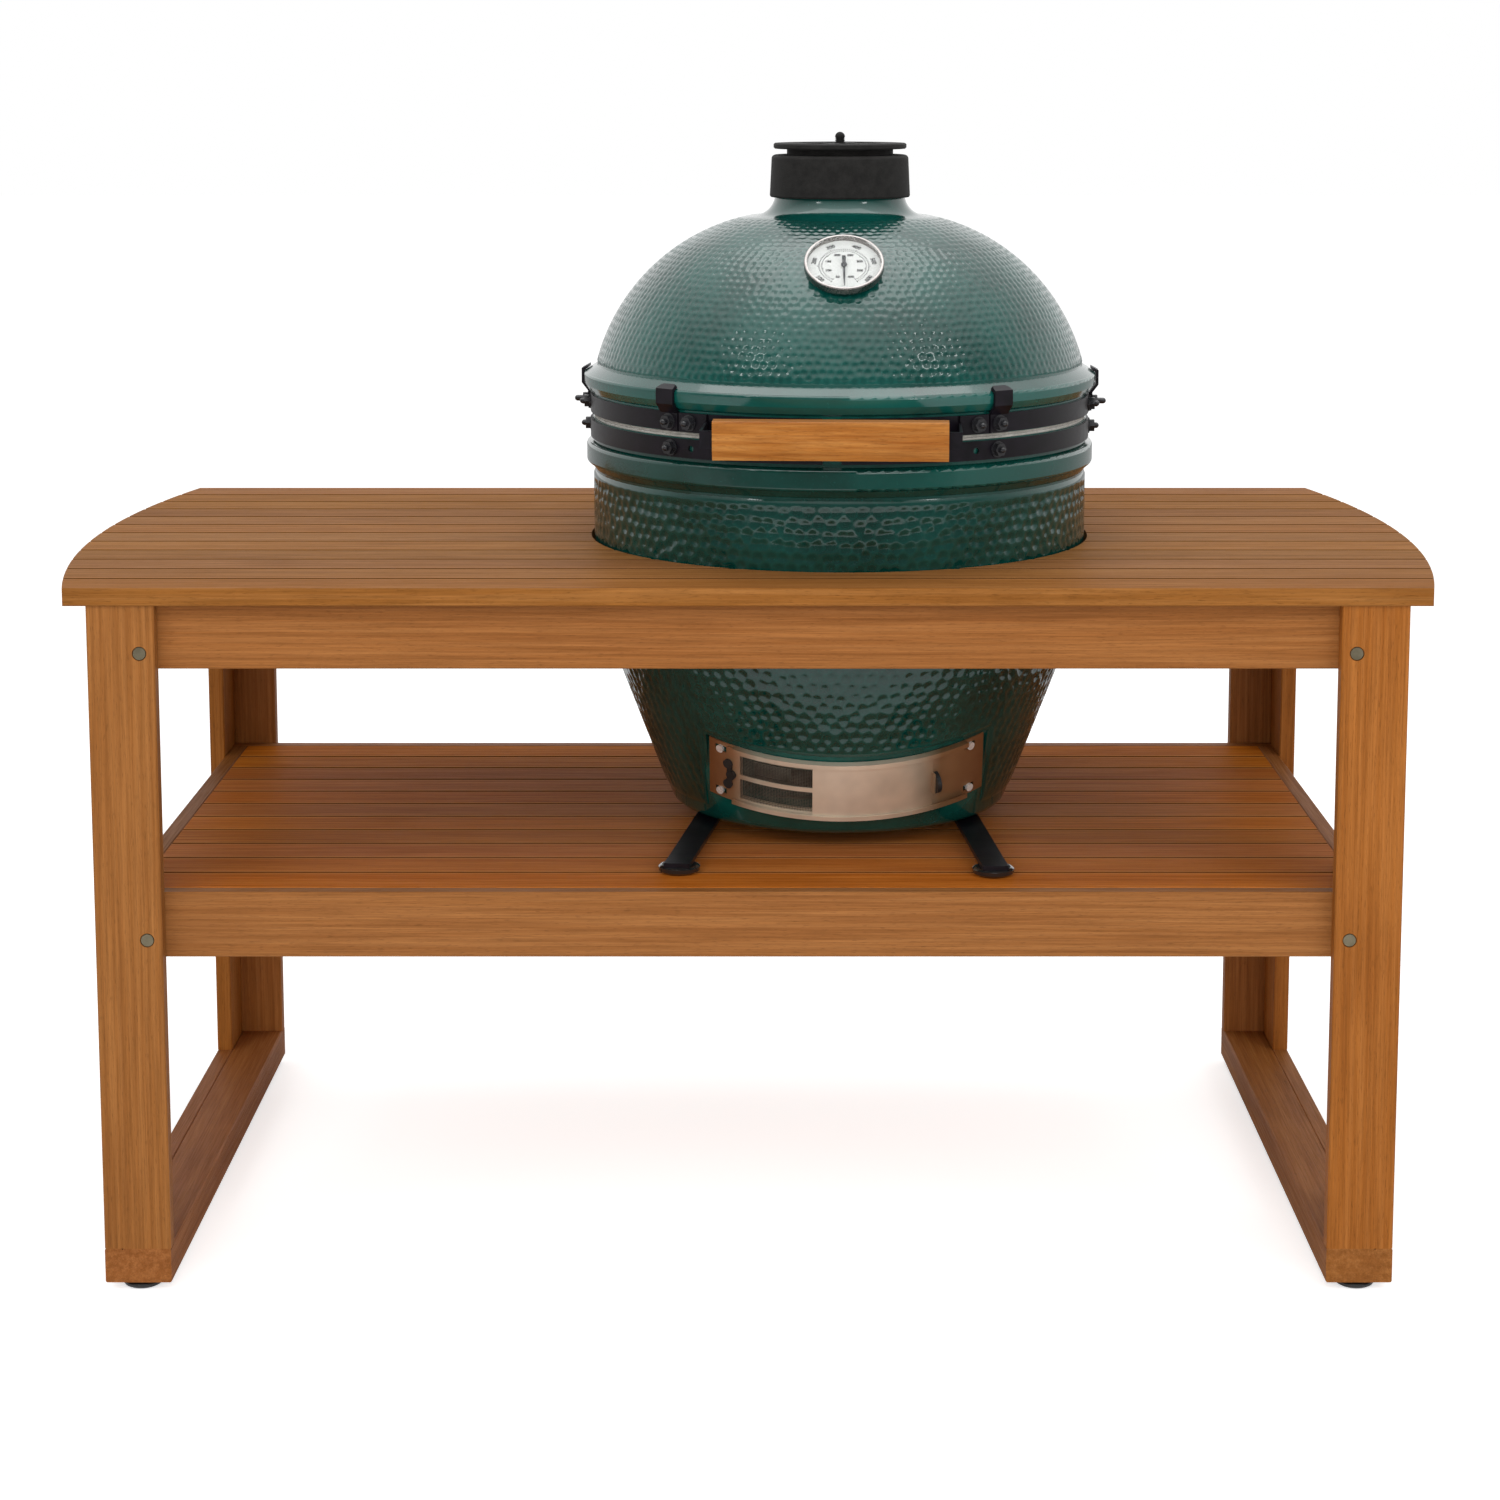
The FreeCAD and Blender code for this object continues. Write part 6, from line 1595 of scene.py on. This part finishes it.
@dataclass
class ThermometerDial(SubAssembly):
    """Two plain scales on the dial: ticks and numbers as thin raised ink; sizes in millimetres.

    Attributes:
        gauge_angle: elevation of the thermometer.
        offset: distance of the dome's arc's centre from the grill's axis.
        arc_height: height of that centre.
        lift: thickness of the ink.
        half_turn: how far from the top the first and the last tick stand.
        upright_within: numbers further from the top stand the other way up.
        type_size: font size of a number as high as 1.
        bold: how far a number's strokes are thickened.
    """

    gauge_angle: float = math.radians(50.5)
    offset: float = 61.2
    arc_height: float = 466.1
    lift: float = 0.12
    half_turn: float = math.radians(150)
    ticks: int = 61
    tick_half: float = 0.48
    upright_within: float = math.radians(100)
    type_size: float = 1.35
    bold: float = 0.25
    scales: tuple[Scale, ...] = (
        Scale("outer_scale", ring=29.4, past=1.4, every=12, long=3.0, short=1.6,
              figures=range(100, 601, 100), reach=math.radians(127), figure_ring=34.8, height=5.4,
              follow=True),
        Scale("inner_scale", ring=26.2, past=0.0, every=10, long=2.4, short=1.3,
              figures=range(50, 401, 50), reach=math.radians(157.5), figure_ring=19.6, height=3.6,
              follow=False))

    def build(self) -> list[bpy.types.Object]:
        """Build the scales.

        Returns:
            The pieces.
        """
        seat = self._seat()
        pieces = [self._scale(scale, seat) for scale in self.scales]
        for piece in pieces:
            self.paint.coat(piece, "ink")
        return pieces

    def _seat(self) -> Matrix:
        """Find the dial's own frame: X to the right, Y up the dial, Z outwards.

        Returns:
            The frame, its origin half the ink's thickness over the dial.
        """
        low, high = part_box("thermometer_dial")
        out = Vector((0, -math.cos(self.gauge_angle), math.sin(self.gauge_angle)))
        right = Vector((1, 0, 0))
        up = out.cross(right)
        grill = self.grill
        on_axis = Vector((grill.middle_x, grill.middle_y - self.offset, grill.foot_z + self.arc_height)) * MM
        node = bpy.data.objects["thermometer_dial"]
        reach = max((vertex.co - on_axis).dot(out) for vertex in node.data.vertices)
        log.info("dial from %s to %s", tuple(low), tuple(high))
        frame = Matrix((right, up, out)).transposed().to_4x4()
        frame.translation = on_axis + out * (reach + self.lift * MM / 2)
        return frame

    def _scale(self, scale: Scale, seat: Matrix) -> bpy.types.Object:
        """Build one scale's ticks and numbers.

        Args:
            scale: its sizes.
            seat: the dial's frame.

        Returns:
            The piece.
        """
        parts = MeshParts()
        half = self.tick_half
        for number, turn in enumerate(np.linspace(-self.half_turn, self.half_turn, self.ticks)):
            is_long = number % scale.every == 0
            outer = scale.ring + (scale.past if is_long else 0.0)
            inner = outer - (scale.long if is_long else scale.short)
            self._slab(parts, seat, turn, [(-half, inner), (half, inner), (half, outer), (-half, outer)])
        for number, figure in enumerate(scale.figures):
            turn = scale.reach * (2 * number / (len(scale.figures) - 1) - 1)
            lean = -turn if scale.follow else 0.0
            if scale.follow and abs(turn) > self.upright_within:
                lean += math.pi
            self._figure(parts, seat, str(figure), turn, scale.figure_ring, scale.height, lean)
        return parts.make(scale.name, Body.LID, "dark_needle")

    def _slab(self, parts: MeshParts, seat: Matrix, turn: float,
              corners: Sequence[tuple[float, float]]) -> None:
        """Add a thin prism.

        Args:
            parts: what gathers the mesh.
            seat: the dial's frame.
            turn: where it stands, clockwise from the dial's top.
            corners: its outline at the top.
        """
        spin = Matrix.Rotation(-turn, 4, "Z")
        half = self.lift / 2
        points = [seat @ spin @ (Vector((x, y, z)) * MM) for z in (-half, half) for x, y in corners]
        first = parts.add_points(np.array([tuple(point) for point in points]))
        count = len(corners)
        parts.cap(first, count, True)
        parts.cap(first + count, count)
        parts.band(first, first + count, count)

    def _figure(self, parts: MeshParts, seat: Matrix, figure: str, turn: float, ring: float,
                height: float, lean: float) -> None:
        """Add a number as a thin solid.

        Args:
            parts: what gathers the mesh.
            seat: the dial's frame.
            figure: the number.
            turn: where it stands, clockwise from the dial's top.
            ring: radius of its middle.
            height: its height.
            lean: how far it is turned on its own middle.
        """
        curve = bpy.data.curves.new("figure", "FONT")
        curve.body = figure
        curve.size = height * self.type_size * MM
        curve.align_x = "CENTER"
        curve.align_y = "CENTER"
        curve.extrude = self.lift / 2 * MM
        curve.offset = self.bold * MM
        curve.resolution_u = 3
        holder = bpy.data.objects.new("figure", curve)
        bpy.context.scene.collection.objects.link(holder)
        mesh = bpy.data.meshes.new_from_object(holder.evaluated_get(bpy.context.evaluated_depsgraph_get()))
        middle = Matrix.Translation(Vector((math.sin(turn), math.cos(turn), 0)) * ring * MM)
        place = seat @ middle @ Matrix.Rotation(lean, 4, "Z")
        first = parts.add_points(np.array([tuple(place @ vertex.co) for vertex in mesh.vertices]))
        for polygon in mesh.polygons:
            parts.faces.append(tuple(first + index for index in polygon.vertices))
        bpy.data.objects.remove(holder)
        bpy.data.meshes.remove(mesh)
        bpy.data.curves.remove(curve)


# The studio


@dataclass
class Studio:
    """Camera, lamps, world and floor.

    Attributes:
        pitch_down: how far the camera looks down, in degrees.
        floor_drop: how far the floor lies below the feet.
        floor_glow: what the floor adds to its light for the camera.
        soft_room: two upward parts of a direction, and the room's brightness at each.
        mirrored_top: the same for reflections.
        mirrored_back: the same for reflections, with a direction's part away from the camera.
    """

    camera_place: Place = (0.0261, -3.6049, 1.3699)
    pitch_down: float = 7.52
    lens: float = 71.03
    shift: tuple[float, float] = (-0.0145, -0.19)
    floor_side: float = 60.0
    floor_front: float = 4.5
    floor_drop: float = 0.0005
    floor_glow: float = 0.62
    soft_room: tuple[float, float, float, float] = (-0.1, 0.8, 0.48, 0.56)
    mirrored_top: tuple[float, float, float, float] = (0.32, 0.90, 0.16, 2.0)
    mirrored_back: tuple[float, float, float, float] = (-0.55, 0.3, 0.14, 1.1)

    def build(self) -> None:
        """Set up the whole studio."""
        self._camera()
        self._world()
        self._floor()
        for name, place, target, side, power, mirrored in (
                ("left_softbox", (-2.6, -3.0, 2.4), (0.0, 0.0, 0.6), 2.6, 31.0, False),
                ("right_softbox", (2.8, -2.8, 2.4), (0.1, 0.0, 0.6), 2.6, 38.0, False),
                ("front_softbox", (0.1, -5.2, 3.0), (0.1, 0.0, 0.6), 3.6, 66.0, False),
                ("low_softbox", (-0.2, -5.0, 1.0), (0.0, 0.3, 0.5), 2.4, 40.0, False),
                ("top_softbox", (0.1, 0.3, 4.2), (0.1, 0.2, 0.0), 3.0, 45.0, True),
                ("left_spot", (-2.3, -2.6, 3.3), (0.1, 0.0, 0.9), 0.40, 5.0, True),
                ("right_spot", (2.5, -2.4, 3.2), (0.1, 0.0, 0.9), 0.40, 5.0, True)):
            self._lamp(name, place, target, side, power, mirrored)

    def _camera(self) -> None:
        """Stand the camera where the photograph was taken from."""
        data = bpy.data.cameras.new("photo_camera")
        data.sensor_width = 36.0
        data.lens = self.lens
        data.shift_x, data.shift_y = self.shift
        camera = bpy.data.objects.new("photo_camera", data)
        camera.location = self.camera_place
        camera.rotation_euler = (math.radians(90 - self.pitch_down), 0.0, 0.0)
        bpy.context.scene.collection.objects.link(camera)
        bpy.context.scene.camera = camera

    def _lamp(self, name: str, place: Sequence[float], target: Sequence[float], side: float, power: float,
              mirrored: bool) -> None:
        """Hang a square softbox.

        Args:
            name: its name.
            place: where it hangs.
            target: what it faces.
            side: length of its sides.
            power: its power in watts.
            mirrored: whether glossy pieces show it.
        """
        data = bpy.data.lights.new(name, "AREA")
        data.shape = "SQUARE"
        data.size = side
        data.energy = power
        lamp = bpy.data.objects.new(name, data)
        lamp.location = place
        lamp.rotation_euler = (Vector(target) - Vector(place)).to_track_quat("-Z", "Y").to_euler()
        lamp.visible_glossy = mirrored
        bpy.context.scene.collection.objects.link(lamp)

    def _world(self) -> None:
        """Light a pale room: white to the camera, brighter overhead than in front for reflections."""
        world = bpy.data.worlds.new("studio")
        world.use_nodes = True
        bpy.context.scene.world = world
        graph = NodeGraph(world.node_tree)
        rays = graph.add("ShaderNodeLightPath").outputs
        _, ahead, upwards = graph.split(graph.add("ShaderNodeTexCoord").outputs["Generated"])
        soft = graph.span(upwards, *self.soft_room)
        mirrored = graph.sum("MAXIMUM", graph.span(upwards, *self.mirrored_top),
                             graph.span(ahead, *self.mirrored_back))
        seen = graph.sum("MAXIMUM", rays["Is Camera Ray"], rays["Is Transmission Ray"])
        background = graph.tree.nodes["Background"]
        graph.feed(background.inputs[0], (1.0, 1.0, 1.0))
        graph.feed(background.inputs[1],
                   graph.either(seen, graph.either(rays["Is Glossy Ray"], soft, mirrored), 1.0))

    def _floor(self) -> None:
        """Lay a pale floor that keeps the object's shadow."""
        half = self.floor_side / 2
        front = -self.floor_front
        mesh = bpy.data.meshes.new("studio_floor")
        mesh.from_pydata([(-half, front, 0), (half, front, 0), (half, half, 0), (-half, half, 0)], [],
                         [(0, 1, 2, 3)])
        floor = bpy.data.objects.new("studio_floor", mesh)
        bpy.context.scene.collection.objects.link(floor)
        floor.location.z = -self.floor_drop
        graph = MaterialGraph("pale_floor")
        rays = graph.add("ShaderNodeLightPath")
        glow = graph.sum("MULTIPLY", rays.outputs["Is Camera Ray"], self.floor_glow)
        graph.set(Base_Color=(0.86, 0.86, 0.86), Roughness=0.9, Specular_IOR_Level=0.0,
                  Emission_Color=(1.0, 1.0, 1.0), Emission_Strength=glow)
        mesh.materials.append(graph.material)


@dataclass
class CadPieces(SubAssembly):
    """Puts finishes on the CAD nodes that stay in sight."""

    def dress(self, frame: dict) -> None:
        """Dress every node by its slot in the record.
        """
        slots = {part["node"]: part["material_slot"] for part in frame["record"]["subparts"]}
        for name, node in sorted(frame["nodes"].items()):
            finish = self._finish(name, slots[name])
            self.paint.coat(node, finish)
            log.info("%s: %s", name, finish)

    def _finish(self, name: str, slot: str) -> str:
        """Name the finish of a node; frame boards take theirs by the run of their grain.

        Args:
            name: the node's name.
            slot: its material slot in the record.

        Returns:
            The finish's name.
        """
        if name in OWN_FINISHES:
            return OWN_FINISHES[name]
        if slot != "table_wood":
            return SLOT_FINISHES[slot]
        if name in X_RAILS:
            return "rails_x"
        return "legs" if name.startswith("leg") else "rails_y"


def main() -> None:
    """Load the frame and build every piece."""
    logging.basicConfig(level=logging.INFO, format="%(name)s %(message)s")
    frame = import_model()
    shared = (GrillFrame(), DoorCylinder(), Paint())
    CadPieces(*shared).dress(frame)
    for kind in (CeramicBase, CeramicDome, FeltGaskets, DraftScreen, LevellingGlides, ThermometerDial):
        kind(*shared).build()
    Studio().build()
    scene = bpy.context.scene
    scene.view_settings.view_transform = "Standard"


if __name__ == "__main__":
    main()
